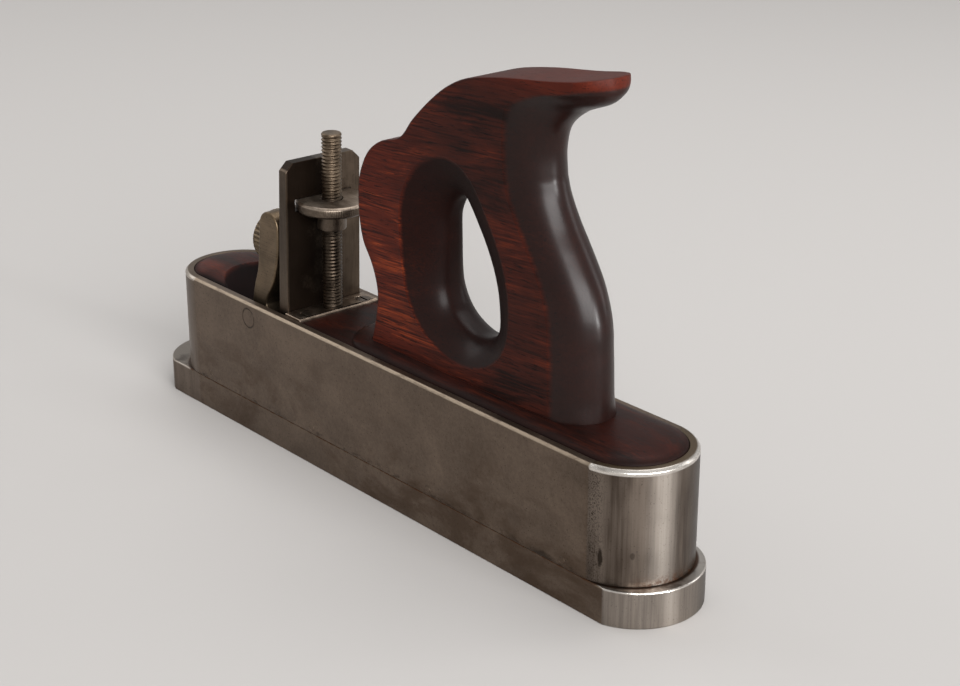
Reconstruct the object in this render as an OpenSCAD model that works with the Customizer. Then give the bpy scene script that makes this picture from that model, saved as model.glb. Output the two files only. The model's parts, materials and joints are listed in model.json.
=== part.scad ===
// Rule makers plane: a steel bodied infill plane with a closed handle and a nearly upright iron.
// X runs towards the heel, Y across the plane and Z up. The origin lies under the middle of the sole.

/* [Sole] */
// Length of the sole over its rounded ends
sole_l = 268; // [255:1:290]
// Width of the sole and of the casing
body_w = 41.3; // [39:0.1:46]
// Thickness of the sole
sole_t = 12.4; // [9:0.1:15]
// How much wider than half the body the radius of the sole's ends is
sole_end_extra = 1.25; // [0.6:0.05:4]
// Height of the raised land that locates the casing
land_h = 4; // [3.4:0.1:5]
// Opening of the mouth in front of the cutting edge
mouth_gap = 0.9; // [0.6:0.1:2]
// Room beside the iron at each end of the mouth
mouth_side = 0.7; // [0.4:0.1:1]

/* [Casing] */
// Height of the side walls above the sole
casing_h = 38.4; // [34:0.1:44]
// Thickness of the side walls
wall_t = 3.3; // [2.6:0.1:3.6]
// Lip of the sole past the casing at the heel
lip_heel = 4; // [3:0.5:8]
// Lip of the sole past the casing at the toe
lip_toe = 12; // [8:0.5:16]
// Bevel along the outer edge of the rim
rim_bevel = 0.9; // [0.4:0.1:1.6]
// Radius of the rivets that hold the casing to the land
rivet_r = 1.25; // [1:0.05:1.5]
// Depth of the rivets in the land
rivet_grip = 4.5; // [3:0.5:6]

/* [Infills] */
// How far the wood lies below the rim
wood_drop = 0.5; // [0.2:0.1:1]
// Height of the crowned pad that carries the handle, above the wood around it
crown_h = 3.4; // [2:0.1:5]
// Height of the crown on the toe infill
toe_crown_h = 1.8; // [1:0.1:3]
// Length of flat wood between the front of the handle and the front of the pad
pad_lead = 8; // [5:0.5:10]
// Length of the throat at the rim, from the iron's bed to the furthest point of the scoop
throat_l = 51.5; // [49:0.5:56]
// Length of the throat at the sole, from the iron's bed to the foot of the scoop
throat_foot = 13; // [12:0.5:16]
// Radius of the scoop, which cuts out into both walls
scoop_r = 19; // [18:0.5:23]

/* [Handle] */
// Height of the handle above the rim
tote_h = 110; // [100:1:120]
// Length of the handle, from the front of its hump to the tip of its horn
tote_l = 111.5; // [104:0.5:118]
// Thickness of the handle at its foot
tote_foot_w = 23.4; // [20:0.2:25]
// Thickness of the handle at its horn
tote_horn_w = 20.6; // [18:0.2:23]
// Distance from the iron's bed at the rim to the front of the hump
tote_set = 36; // [34:0.5:42]
// Depth of the rounding along the back of the grip
grip_round = 14; // [10:0.5:16]
// Depth of the rounding around the finger opening
hole_round = 14; // [10:0.5:14.5]
// Depth to which the handle is let into the wood
let_in = 4; // [3:0.5:6]

/* [Bed and iron] */
// Place of the iron's bed at the underside of the sole
bed_x = -49; // [-52:0.5:-44]
// Angle by which the bed leans back from the vertical
bed_lean = 2; // [0:0.25:3]
// Thickness of the bed plate behind the iron
bed_t = 3.2; // [2.4:0.1:4]
// Width of the iron
iron_w = 31.75; // [28:0.25:33]
// Length of the iron from its cutting edge to its top
iron_l = 105.8; // [104:0.2:112]
// Thickness of the iron at its cutting edge
iron_t_edge = 6.4; // [5:0.1:7]
// Thickness of the iron at its top
iron_t_top = 4; // [3:0.1:4.8]
// Bevel angle of the iron
iron_bevel = 30; // [25:1:35]
// Cut across the upper corners of the iron
iron_clip = 3; // [1.5:0.5:5]
// Height of the cutting edge above the floor at rest
edge_lift = 0.2; // [0.1:0.05:0.5]

/* [Adjuster] */
// Depth of the bridge plate from the bed to its back edge
bridge_d = 9; // [8.5:0.5:12]
// Thickness of the bridge plate
bridge_t = 3.2; // [2.5:0.1:4]
// Distance of the bridge plate's screws from the middle of the plane
bridge_screw_y = 13; // [11:0.5:13.5]
// How far the bridge plate stands above the rim
bridge_rise = 0.7; // [0:0.1:1.5]
// Diameter of the threaded rod
rod_d = 7.1; // [6:0.1:7.6]
// Distance of the rod's axis behind the bed
rod_off = 5; // [4.6:0.1:5.6]
// Height of the rod's top above the floor, along the bed
rod_top = 116; // [112:1:122]
// Depth of the plain end of the rod below the rim
rod_root = 24; // [18:1:28]
// Pitch of the rod's thread
rod_pitch = 1.27; // [1:0.01:1.6]
// Depth of the rod's thread
thread_depth = 0.45; // [0.3:0.05:0.6]
// Diameter of the adjusting nut's flange
flange_d = 25.4; // [23:0.2:26]
// Thickness of the flange
flange_t = 4; // [3:0.1:4.6]
// Height of the flange's underside above the floor, along the bed
flange_z = 88.4; // [88:0.1:92]
// Diameter of the nut's hub
hub_d = 10.2; // [9.6:0.2:12]
// Height of the nut's hub below the flange
hub_h = 7; // [5:0.5:9]

/* [Lever cap] */
// Distance of the cross pin's axis from the iron's face
pin_off = 12.8; // [12:0.1:14]
// Distance of the cross pin's axis from the cutting edge, along the iron
pin_up = 44; // [42:0.5:45]
// Diameter of the cross pin
pin_d = 7.1; // [6:0.1:8]
// Width of the lever cap
cap_w = 31; // [28:0.5:33]
// Distance of the cap's upper end from the cutting edge, along the iron
cap_top = 85; // [82:0.5:86]
// Half the thickness of the cap at its upper end
cap_top_r = 5.6; // [5:0.1:6.2]
// Half the thickness of the cap at its pressing toe
cap_toe_r = 1.7; // [1.3:0.1:2.2]
// Distance of the cap's toe from the cutting edge, along the iron
cap_toe_up = 22.5; // [20:0.5:24]
// Radius of the boss around the cross pin
cap_boss_r = 6.2; // [5.6:0.1:7]
// Height of the cap screw's axis from the cutting edge, along the iron
screw_up = 68; // [64:0.5:70]
// Diameter of the cap screw's shank
screw_d = 6.4; // [5:0.1:7]
// Distance from the iron's face to the underside of the screw's head
screw_reach = 19; // [16:0.5:20]
// Diameter of the screw's head
screw_head_d = 20; // [16:0.5:22]
// Thickness of the screw's head
screw_head_t = 7; // [5:0.5:8]

/* [Wood screws] */
// Radius of the shanks of the screws that come up through the sole
sole_screw_r = 2; // [1.6:0.1:2.4]
// Height reached by the screws of the infills
infill_screw_top = 34; // [28:1:36]
// Height reached by the screws of the handle, above the rim
tote_screw_reach = 18; // [12:1:22]
// Distance of the outer toe screw from the toe end of the casing
toe_screw_in = 15; // [12:0.5:18]
// Distance between the two toe screws
toe_screw_step = 18; // [14:0.5:19]
// Distance of the first rear screw behind the bridge plate
rear_screw_in = 14; // [12:0.5:18]
// Distance of the last rear screw from the heel end of the casing
heel_screw_in = 22; // [20:0.5:26]
// Distance of the handle's front screw from the front of its hump
tote_screw_in = 17; // [15:0.5:20]
// Distance of the handle's rear screw from the tip of its horn
tote_screw_back = 21.5; // [20:0.5:25]
// Distance of the bed plate's screws from the middle of the plane
bed_screw_y = 10; // [8.5:0.5:12]
// Height of the bed plate's screws above the floor
bed_screw_up = 30; // [26:0.5:36]
// Radius of the shanks of the small screws in the bed plate and the bridge plate
small_screw_r = 1.4; // [1.1:0.1:1.6]
// Length of the small screws
small_screw_l = 14; // [10:0.5:16]

/* [Fits] */
// Gap between wood and steel
wood_fit = 0.1; // [0.05:0.05:0.2]
// Gap between the iron and its bed
iron_fit = 0.1; // [0.05:0.01:0.2]
// Radial running gap of the nut, the cap and the screw's head
run_fit = 0.06; // [0.03:0.01:0.1]
// Gap between the nut's flange and its slot in the iron
slot_fit = 0.15; // [0.1:0.05:0.3]
// Gap between the iron's face and the cap's toe and screw
press_gap = 0.45; // [0.4:0.05:0.6]
// Gap between the iron's face and the upper part of the cap
cap_gap = 1.7; // [1.5:0.1:2.2]

/* [Hidden] */
$fn = 96;
STEEL = [0.42, 0.40, 0.37];
DARK_STEEL = [0.30, 0.28, 0.26];
ROSEWOOD = [0.27, 0.10, 0.07];
BRASSY = [0.45, 0.36, 0.20];

over = 1;
rim_z = sole_t + casing_h;
wood_z = rim_z - wood_drop;
land_z = sole_t + land_h;
inner_w = body_w - 2 * wall_t;
wood_w = inner_w - 2 * wood_fit;
heel_x = sole_l / 2 - lip_heel;
toe_x = lip_toe - sole_l / 2;
sole_end_r = body_w / 2 + sole_end_extra;
bed_rim_x = bed_x + rim_z * tan(bed_lean);
bridge_z = rim_z + bridge_rise - bridge_t;
bridge_back = bed_rim_x + bridge_d;
pad_x = tote_x() - pad_lead;
tote_z = wood_z - let_in;
taper = atan((iron_t_edge - iron_t_top) / iron_l);
flange_top = flange_z + flange_t;

function tote_x() = bed_rim_x + tote_set;
// Place of a plane parallel to the bed, at height z
function bed_at(z, back = 0) = bed_x + back / cos(bed_lean) + z * tan(bed_lean);

// One span of a smooth curve through points a, b, c and d, drawn from b to c
function span(a, b, c, d, t) = 0.5 * (2 * b + (c - a) * t + (2 * a - 5 * b + 4 * c - d) * t * t
    + (3 * b - a - 3 * c + d) * t * t * t);
// A smooth open curve through the points p, with n steps a span
function smooth(p, n) = concat(
    [for (i = [0:len(p) - 2], k = [0:n - 1])
        span(p[max(i - 1, 0)], p[i], p[i + 1], p[min(i + 2, len(p) - 1)], k / n)],
    [p[len(p) - 1]]);
// A smooth closed curve through the points p, with n steps a span
function smooth_loop(p, n) = [for (i = [0:len(p) - 1], k = [0:n - 1])
    span(p[(i + len(p) - 1) % len(p)], p[i], p[(i + 1) % len(p)], p[(i + 2) % len(p)], k / n)];
function unit(v) = v / norm(v);
function left_of(v) = [-v.y, v.x];

// Outline with round ends, from x0 to x1
module stadium(x0, x1, w) {
    for (x = [x0 + w / 2, x1 - w / 2])
        translate([x, 0])
            circle(d = w);
    translate([x0 + w / 2, -w / 2])
        square([x1 - x0 - w, w]);
}

// The same outline raised to a height h, with a bevel b around its upper edge
module bevelled_stadium(x0, x1, w, h, b) {
    for (x = [x0 + w / 2, x1 - w / 2])
        translate([x, 0, 0]) {
            cylinder(h = h - b, d = w);
            translate([0, 0, h - b])
                cylinder(h = b, r1 = w / 2, r2 = w / 2 - b);
        }
    translate([x0 + w / 2, 0, 0])
        rotate([90, 0, 90])
            linear_extrude(x1 - x0 - w)
                polygon([[-w / 2, 0], [w / 2, 0], [w / 2, h - b], [w / 2 - b, h], [b - w / 2, h],
                    [-w / 2, h - b]]);
}

// A side view given in X and Z, carried across the plane to the width w
module across(w) {
    rotate([90, 0, 0])
        linear_extrude(w, center = true)
            children();
}

// The frame of the bed: Z runs up the bed and X points away from it, towards the heel
module on_bed() {
    translate([bed_x, 0, 0])
        rotate([0, bed_lean, 0])
            children();
}

// The frame of the iron's face: Z runs up the face from the cutting edge and -X points away from it
module on_face() {
    on_bed()
        translate([-iron_fit - iron_t_edge, 0, edge_lift])
            rotate([0, taper, 0])
                children();
}

// Wood screw that points up, with its countersunk head at the origin
module screw_body(r, l) {
    head_r = 2 * r;
    cylinder(h = head_r - r, r1 = head_r, r2 = r);
    translate([0, 0, head_r - r])
        cylinder(h = l - 3 * r, r = r);
    translate([0, 0, l - 2 * r])
        cylinder(h = 2 * r, r1 = r, r2 = 0.2);
}

module wood_screw(r, l) {
    difference() {
        screw_body(r, l);
        cube([5 * r, 0.5 * r, 0.8 * r], center = true);
    }
}

// A crowned pad with round ends: its height falls from h in the middle to nothing at its edge
module crown(x0, x1, w, h) {
    steps = 14;
    power = 2.5;
    half = [for (i = [0:steps])
        [w / 2 * pow(sin(90 * i / steps), 2 / power), h * pow(cos(90 * i / steps), 2 / power)]];
    side = concat([[0, -over / 2]], half, [[w / 2, -over / 2]]);
    for (x = [x0 + w / 2, x1 - w / 2])
        translate([x, 0, 0])
            rotate_extrude()
                polygon(side);
    translate([x0 + w / 2, 0, 0])
        rotate([90, 0, 90])
            linear_extrude(x1 - x0 - w) {
                polygon(side);
                mirror([1, 0])
                    polygon(side);
            }
}

module rivets(extra = 0) {
    n = 4;
    margin = body_w / 2 + 8;
    step = (heel_x - toe_x - 2 * margin) / (n - 1);
    for (i = [0:n - 1], side = [-1, 1])
        translate([toe_x + margin + i * step, side * (body_w / 2 + extra), sole_t + land_h / 2])
            rotate([90 * side, 0, 0])
                cylinder(h = wall_t + wood_fit + rivet_grip + extra, r = rivet_r);
}

// Screws that come up through the sole, as [x, height of the tip]
toe_screws = [[toe_x + toe_screw_in, infill_screw_top], [toe_x + toe_screw_in + toe_screw_step, infill_screw_top]];
rear_screws = [[bridge_back + rear_screw_in, infill_screw_top],
    [tote_x() + tote_l / 2, infill_screw_top], [heel_x - heel_screw_in, infill_screw_top]];
handle_screws_at = [[tote_x() + tote_screw_in, rim_z + tote_screw_reach],
    [tote_x() + tote_l - tote_screw_back, rim_z + tote_screw_reach]];

module sole_screw_bodies(list) {
    for (s = list)
        translate([s[0], 0, 0])
            screw_body(sole_screw_r, s[1]);
}

module sole_screw_set(list) {
    for (s = list)
        translate([s[0], 0, 0])
            wood_screw(sole_screw_r, s[1]);
}

// Places of the small screws: two in the bed plate, and two in the bridge plate
module at_bed_screws() {
    for (side = [-1, 1])
        on_bed()
            translate([0, side * bed_screw_y, bed_screw_up])
                rotate([0, 90, 0])
                    children();
}

module at_bridge_screws() {
    for (side = [-1, 1])
        translate([bridge_back - 3.4, side * bridge_screw_y, bridge_z + bridge_t])
            rotate([180, 0, 0])
                children();
}

// The scoop in the toe infill: a slanting round channel that leads down to the mouth
module scoop() {
    r = scoop_r;
    rise = rim_z - sole_t;
    foot_x = bed_x - throat_foot;
    top_x = bed_rim_x - throat_l;
    slant = atan((foot_x - top_x) / rise);
    side_set = (r - sqrt(r * r - wood_w * wood_w / 4)) / cos(slant);
    translate([foot_x, 0, sole_t])
        rotate([0, -slant, 0])
            translate([r, 0, -rise])
                cylinder(h = 4 * rise, r = r);
    across(wood_w + over)
        polygon([[foot_x + land_h, 0], [foot_x + land_h, land_z], [top_x + side_set, rim_z],
            [top_x + side_set, 2 * rim_z], [heel_x, 2 * rim_z], [heel_x, 0]]);
}

// Side view of the mouth and of the throat that is cut through the sole and its land
module mouth_view() {
    lead = 2.5;
    front = bed_x - (iron_fit + iron_t_edge + mouth_gap);
    polygon([[bed_at(-over), -over], [bed_at(land_z + over), land_z + over],
        [bed_x - throat_foot - 3, land_z + over], [bed_x - throat_foot + 1, sole_t - 2],
        [front, lead], [front, -over]]);
}

module sole_plate() {
    color(STEEL)
        difference() {
            union() {
                linear_extrude(sole_t)
                    intersection() {
                        union() {
                            for (side = [-1, 1])
                                translate([side * (sole_l / 2 - sole_end_r), 0])
                                    circle(r = sole_end_r, $fn = 160);
                            square([sole_l - 2 * sole_end_r, body_w], center = true);
                        }
                        square([sole_l + over, body_w], center = true);
                    }
                linear_extrude(land_z)
                    stadium(toe_x + wall_t + wood_fit, heel_x - wall_t - wood_fit, wood_w);
            }
            across(iron_w + 2 * mouth_side)
                mouth_view();
            rivets();
            sole_screw_bodies(toe_screws);
            sole_screw_bodies(rear_screws);
            sole_screw_bodies(handle_screws_at);
        }
}

module side_casing() {
    color(STEEL)
        difference() {
            translate([0, 0, sole_t])
                bevelled_stadium(toe_x, heel_x, body_w, casing_h, rim_bevel);
            linear_extrude(rim_z + over)
                stadium(toe_x + wall_t, heel_x - wall_t, inner_w);
            rivets(over);
            cross_pin_body(0, body_w + 2 * over);
        }
}

module casing_rivets() {
    color(STEEL)
        rivets();
}

module wood_block(x0, x1) {
    translate([0, 0, land_z])
        linear_extrude(wood_z - land_z)
            stadium(x0, x1, wood_w);
}

module toe_infill() {
    x0 = toe_x + wall_t + wood_fit;
    color(ROSEWOOD)
        difference() {
            union() {
                wood_block(x0, bed_x);
                translate([0, 0, wood_z])
                    crown(x0, bed_x, wood_w, toe_crown_h);
            }
            scoop();
            sole_screw_bodies(toe_screws);
        }
}

module rear_infill() {
    x1 = heel_x - wall_t - wood_fit;
    back = bed_t + wood_fit;
    color(ROSEWOOD)
        difference() {
            union() {
                wood_block(toe_x, x1);
                translate([0, 0, wood_z])
                    crown(pad_x, x1, wood_w, crown_h);
            }
            across(body_w)
                polygon([[toe_x - over, 0], [bed_at(0, back), 0], [bed_at(bridge_z, back), bridge_z],
                    [bridge_back, bridge_z], [bridge_back, rim_z + over], [toe_x - over, rim_z + over]]);
            translate([0, 0, tote_z])
                linear_extrude(let_in + crown_h + over)
                    polygon(tote_ring(tote_rows[0], wood_fit));
            sole_screw_bodies(rear_screws);
            sole_screw_bodies(handle_screws_at);
            at_bed_screws()
                screw_body(small_screw_r, small_screw_l);
            at_bridge_screws()
                screw_body(small_screw_r, small_screw_l);
            rod_body(rod_d / 2);
        }
}

module toe_infill_screws() {
    color(DARK_STEEL)
        sole_screw_set(toe_screws);
}

module rear_infill_screws() {
    color(DARK_STEEL)
        sole_screw_set(rear_screws);
}

module handle_screws() {
    color(DARK_STEEL)
        sole_screw_set(handle_screws_at);
}

// Side view of the handle: each row is a height above the foot, the front there and the back there,
// in percent of the handle's height and length, and the depth of the rounded back in percent of its own
tote_view = [[0, 5.6, 97.8, 100], [6.6, 7.4, 97.8, 100], [16, 9, 97.5, 100], [22, 8.1, 97.2, 100],
    [27.5, 5.7, 96.9, 100], [33, 2.1, 95.8, 100], [40.3, 0.3, 93, 100], [48.5, 0, 88, 100],
    [55.1, 1.3, 83.6, 100], [61.5, 5, 80.1, 100], [65.8, 10.9, 78.6, 100], [69, 20, 78, 100],
    [75.6, 26, 77.9, 104], [82.7, 33.8, 80.4, 124], [88.3, 41.7, 87.4, 160], [92.1, 50.5, 96.4, 166],
    [95, 65, 99.6, 92], [97.3, 83, 100, 64], [100, 98.8, 99.7, 62]];
// Edge of the finger opening on the handle's flat sides, as length and height in percent, and the depth
// of the rounding there in percent of its full depth
hole_view = [[20.2, 37.8, 100], [20.5, 52.5, 100], [26.6, 65.3, 100], [38.7, 71.7, 100],
    [50.4, 67.6, 100], [59.4, 54.8, 100], [66.1, 42.1, 100], [68.9, 30.2, 94], [67.4, 17.5, 79],
    [59.8, 9.3, 65], [46.8, 6.1, 61], [32.5, 10.7, 68], [23.5, 21.1, 86]];

tote_rows = smooth(tote_view, 2);
function tote_half(p) = (tote_foot_w + (tote_horn_w - tote_foot_w) * p / 100) / 2;

// Level section of the handle at one row: square in front, and half an ellipse at the back.
// Past the start of the ellipse the section is the ellipse's own end.
function tote_ring(row, grow = 0) = let (
        steps = 18,
        ease = 1.4,
        front = tote_x() + tote_l * row[1] / 100 - grow,
        back = tote_x() + tote_l * row[2] / 100 + grow,
        half = tote_half(row[0]) + grow,
        depth = grip_round * row[3] / 100,
        mid = back - depth,
        turn = front > mid ? acos(min((front - mid) / depth, 0.98)) : 90,
        front_half = half * sin(turn),
        e = min(ease, front_half / 2))
    concat(
        [for (i = [0:steps]) let (a = -turn + 2 * turn * i / steps)
            [mid + depth * cos(a), half * sin(a)]],
        [[front + 0.3 * e, front_half - 0.3 * e], [front, front_half - e]],
        [[front, e - front_half], [front + 0.3 * e, 0.3 * e - front_half]]);

// Solid through a list of rings, each a list of points with the same number of points
module loft(rings) {
    n = len(rings[0]);
    m = len(rings);
    sides = [for (j = [0:m - 2], i = [0:n - 1])
        each [[j * n + i, j * n + (i + 1) % n, (j + 1) * n + i],
            [j * n + (i + 1) % n, (j + 1) * n + (i + 1) % n, (j + 1) * n + i]]];
    ends = [[for (i = [n - 1:-1:0]) i], [for (i = [0:n - 1]) (m - 1) * n + i]];
    polyhedron(points = [for (ring = rings) each ring], faces = [for (f = concat(sides, ends))
        [for (i = [len(f) - 1:-1:0]) f[i]]], convexity = 10);
}

// Rounded finger opening: its outline shrinks from the flat sides to the middle of the handle
module finger_opening() {
    steps = 9;
    power = 2.6;
    view = smooth_loop(hole_view, 4);
    n = len(view);
    edge = [for (p = view) [tote_x() + tote_l * p.x / 100, rim_z + tote_h * p.y / 100]];
    inward = [for (i = [0:n - 1]) let (along = edge[(i + 1) % n] - edge[(i + n - 1) % n])
        -hole_round * view[i][2] / 100 * left_of(unit(along))];
    // Each level is a share of the handle's half thickness there, and a share of the rounding
    levels = concat([[-1.2, 0]],
        [for (k = [-steps:steps]) let (a = 90 * k / steps)
            [sign(a) * pow(abs(sin(a)), 2 / power), pow(abs(cos(a)), 2 / power)]],
        [[1.2, 0]]);
    loft([for (level = levels)
        [for (i = [0:n - 1]) let (p = edge[i] + level[1] * inward[i])
            [p.x, level[0] * tote_half(100 * (p.y - rim_z) / tote_h), p.y]]]);
}

module handle() {
    foot = tote_ring(tote_rows[0]);
    color(ROSEWOOD)
        difference() {
            loft(concat([[for (p = foot) [p.x, p.y, tote_z]]],
                [for (row = tote_rows) [for (p = tote_ring(row)) [p.x, p.y, rim_z + tote_h * row[0] / 100]]]));
            finger_opening();
            sole_screw_bodies(handle_screws_at);
        }
}

module bed_plate() {
    color(DARK_STEEL)
        difference() {
            across(wood_w)
                polygon([[bed_at(land_z), land_z], [bed_at(land_z, bed_t), land_z],
                    [bed_at(bridge_z, bed_t), bridge_z], [bed_at(bridge_z), bridge_z]]);
            at_bed_screws()
                screw_body(small_screw_r, small_screw_l);
            rod_body(rod_d / 2);
        }
}

module bed_plate_screws() {
    color(DARK_STEEL)
        at_bed_screws()
            wood_screw(small_screw_r, small_screw_l);
}

module bridge_plate() {
    top = bridge_z + bridge_t;
    color(STEEL)
        difference() {
            across(wood_w)
                polygon([[bed_at(bridge_z), bridge_z], [bridge_back, bridge_z], [bridge_back, top - 0.5],
                    [bridge_back - 0.5, top], [bed_at(top), top]]);
            at_bridge_screws()
                screw_body(small_screw_r, small_screw_l);
            rod_body(rod_d / 2);
        }
}

module bridge_screws() {
    color(DARK_STEEL)
        at_bridge_screws()
            wood_screw(small_screw_r, small_screw_l);
}

module rod_body(r) {
    on_bed()
        translate([rod_off, 0, rim_z - rod_root])
            cylinder(h = rod_top - rim_z + rod_root, r = r);
}

module adjusting_rod() {
    r = rod_d / 2;
    plain_top = rim_z + bridge_rise + 1;
    turns = floor((rod_top - plain_top - 1) / rod_pitch);
    thread_top = plain_top + turns * rod_pitch;
    groove = [for (i = [0:turns - 1])
        each [[r, plain_top + i * rod_pitch], [r - thread_depth, plain_top + (i + 0.5) * rod_pitch]]];
    color(DARK_STEEL)
        on_bed()
            translate([rod_off, 0, 0])
                rotate_extrude($fn = 48)
                    polygon(concat([[0, rim_z - rod_root], [r, rim_z - rod_root]], groove,
                        [[r, thread_top], [r, rod_top - 0.6], [r - 0.6, rod_top], [0, rod_top]]));
}

// Turned nut: a flange with bevelled edges on a round hub
module adjusting_nut() {
    r = flange_d / 2;
    b = 0.5;
    color(DARK_STEEL)
        on_bed()
            translate([rod_off, 0, 0])
                rotate_extrude()
                    polygon([[rod_d / 2 + run_fit, flange_z - hub_h], [hub_d / 2, flange_z - hub_h],
                        [hub_d / 2, flange_z], [r - b, flange_z], [r, flange_z + b], [r, flange_top - b],
                        [r - b, flange_top], [rod_d / 2 + run_fit, flange_top]]);
}

module iron() {
    back = -iron_fit;
    top = edge_lift + iron_l;
    slot_half = sqrt(pow(flange_d / 2, 2) - pow(rod_off + iron_fit, 2)) + 2 * slot_fit;
    color(STEEL)
        on_bed()
            difference() {
                intersection() {
                    across(iron_w)
                        polygon([[back, edge_lift + iron_t_edge / tan(iron_bevel)], [back - iron_t_edge, edge_lift],
                            [back - iron_t_top, top], [back, top]]);
                    translate([-rod_off - flange_d, 0, 0])
                        rotate([90, 0, 90])
                            linear_extrude(2 * flange_d)
                                polygon([[-iron_w / 2, 0], [iron_w / 2, 0], [iron_w / 2, top - iron_clip],
                                    [iron_w / 2 - iron_clip, top], [iron_clip - iron_w / 2, top],
                                    [-iron_w / 2, top - iron_clip]]);
                }
                translate([-flange_d, -slot_half, flange_z - slot_fit])
                    cube([2 * flange_d, 2 * slot_half, flange_t + 2 * slot_fit]);
            }
}

module cross_pin_body(gap = 0, w = body_w) {
    on_face()
        translate([-pin_off, 0, pin_up])
            rotate([90, 0, 0])
                cylinder(h = w, r = pin_d / 2 + gap, center = true);
}

module cross_pin() {
    color(STEEL)
        cross_pin_body();
}

// Side view of the lever cap: a bow that leaves the iron, takes the cross pin and returns to press low down.
// Each row is the distance from the iron's face, the distance from the cutting edge and half the thickness.
cap_line = smooth([[cap_gap + cap_top_r, cap_top - cap_top_r, cap_top_r],
    [cap_gap + cap_top_r + 0.2, cap_top - 14, cap_top_r + 0.2], [cap_gap + cap_top_r + 1.9, pin_up + 17, 5],
    [pin_off - 0.2, pin_up + 8.5, 4.1], [pin_off + 0.3, pin_up, 4.2], [pin_off - 4, cap_toe_up + 9.5, 3.4],
    [press_gap + cap_toe_r + 2.6, cap_toe_up + 3.2, 2.4], [press_gap + cap_toe_r, cap_toe_up, cap_toe_r]], 5);

function cap_outline(c) = let (
        n = len(c),
        along = [for (i = [0:n - 1]) let (d = c[min(i + 1, n - 1)] - c[max(i - 1, 0)]) unit([d.x, d.y])],
        left = [for (i = [0:n - 1]) [c[i].x, c[i].y] + c[i][2] * left_of(along[i])],
        right = [for (i = [0:n - 1]) [c[i].x, c[i].y] - c[i][2] * left_of(along[i])],
        end = [for (a = [15:15:165]) [c[n - 1].x, c[n - 1].y]
            + c[n - 1][2] * (cos(a) * left_of(along[n - 1]) + sin(a) * along[n - 1])],
        start = [for (a = [15:15:165]) [c[0].x, c[0].y]
            - c[0][2] * (cos(a) * left_of(along[0]) + sin(a) * along[0])])
    concat(left, end, [for (i = [n - 1:-1:0]) right[i]], start);

module lever_cap() {
    color(STEEL)
        difference() {
            union() {
                on_face()
                    mirror([1, 0, 0])
                        across(cap_w)
                            polygon(cap_outline(cap_line));
                cross_pin_body(cap_boss_r - pin_d / 2, cap_w);
            }
            cross_pin_body(run_fit, body_w + over);
            cap_screw_axis()
                cylinder(h = screw_reach, r = screw_d / 2 + run_fit);
        }
}

// The frame of the cap screw: Z runs out from the iron's face along the screw
module cap_screw_axis() {
    on_face()
        translate([0, 0, screw_up])
            rotate([0, -90, 0])
                children();
}

module cap_screw_shank() {
    r = screw_d / 2;
    color(DARK_STEEL)
        cap_screw_axis()
            translate([0, 0, press_gap])
                rotate_extrude()
                    polygon([[0, 0], [r - 1, 0], [r, 1], [r, screw_reach + screw_head_t - press_gap - 0.5],
                        [0, screw_reach + screw_head_t - press_gap - 0.5]]);
}

// Round head with a grooved edge for the fingers
module cap_screw_head() {
    r = screw_head_d / 2;
    teeth = 36;
    b = 0.7;
    color(BRASSY)
        cap_screw_axis()
            translate([0, 0, screw_reach])
                difference() {
                    rotate_extrude()
                        polygon([[screw_d / 2 + run_fit, 0], [r - b, 0], [r, b], [r, screw_head_t - b],
                            [r - b, screw_head_t], [screw_d / 2 + run_fit, screw_head_t]]);
                    for (i = [0:teeth - 1])
                        rotate([0, 0, i * 360 / teeth])
                            translate([r + 0.1, 0, -over])
                                cylinder(h = screw_head_t + 2 * over, r = 0.5, $fn = 16);
                }
}

sole_plate();
side_casing();
casing_rivets();
toe_infill();
rear_infill();
toe_infill_screws();
rear_infill_screws();
handle();
handle_screws();
bed_plate();
bed_plate_screws();
bridge_plate();
bridge_screws();
adjusting_rod();
adjusting_nut();
iron();
lever_cap();
cross_pin();
cap_screw_shank();
cap_screw_head();
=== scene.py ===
"""Looks of the rule makers plane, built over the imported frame.

The steel sole and casing, the rosewood infills, the closed handle, the upright iron with its adjuster and the pinned
lever cap each get their finished surface here. Places and sizes come from the frame's own boxes, in metres, and the
sizes that only the looks need are fields of the class that uses them.
"""

import json
import logging
import math
from dataclasses import dataclass
from enum import Enum
from functools import cached_property
from typing import Any, Callable, Dict, List, Optional, Sequence, Tuple, Union

import bmesh
import bpy
import numpy as np
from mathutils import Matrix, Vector
from mathutils.geometry import tessellate_polygon


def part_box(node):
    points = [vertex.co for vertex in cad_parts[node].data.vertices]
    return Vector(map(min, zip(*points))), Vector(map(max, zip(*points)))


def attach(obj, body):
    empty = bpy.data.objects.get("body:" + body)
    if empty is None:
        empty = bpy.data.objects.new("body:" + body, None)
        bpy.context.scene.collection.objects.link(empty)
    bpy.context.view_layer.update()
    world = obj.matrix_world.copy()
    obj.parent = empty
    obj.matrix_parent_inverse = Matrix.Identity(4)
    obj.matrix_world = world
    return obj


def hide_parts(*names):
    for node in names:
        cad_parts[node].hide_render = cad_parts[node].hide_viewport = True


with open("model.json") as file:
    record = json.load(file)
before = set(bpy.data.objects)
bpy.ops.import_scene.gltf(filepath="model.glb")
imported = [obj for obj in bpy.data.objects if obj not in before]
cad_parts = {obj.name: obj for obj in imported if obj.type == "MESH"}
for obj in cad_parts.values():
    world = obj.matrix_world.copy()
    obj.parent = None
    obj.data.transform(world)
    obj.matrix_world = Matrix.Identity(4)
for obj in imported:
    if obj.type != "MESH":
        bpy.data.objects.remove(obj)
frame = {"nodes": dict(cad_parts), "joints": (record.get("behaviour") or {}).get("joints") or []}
log = logging.getLogger("rule_makers_plane")

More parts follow.
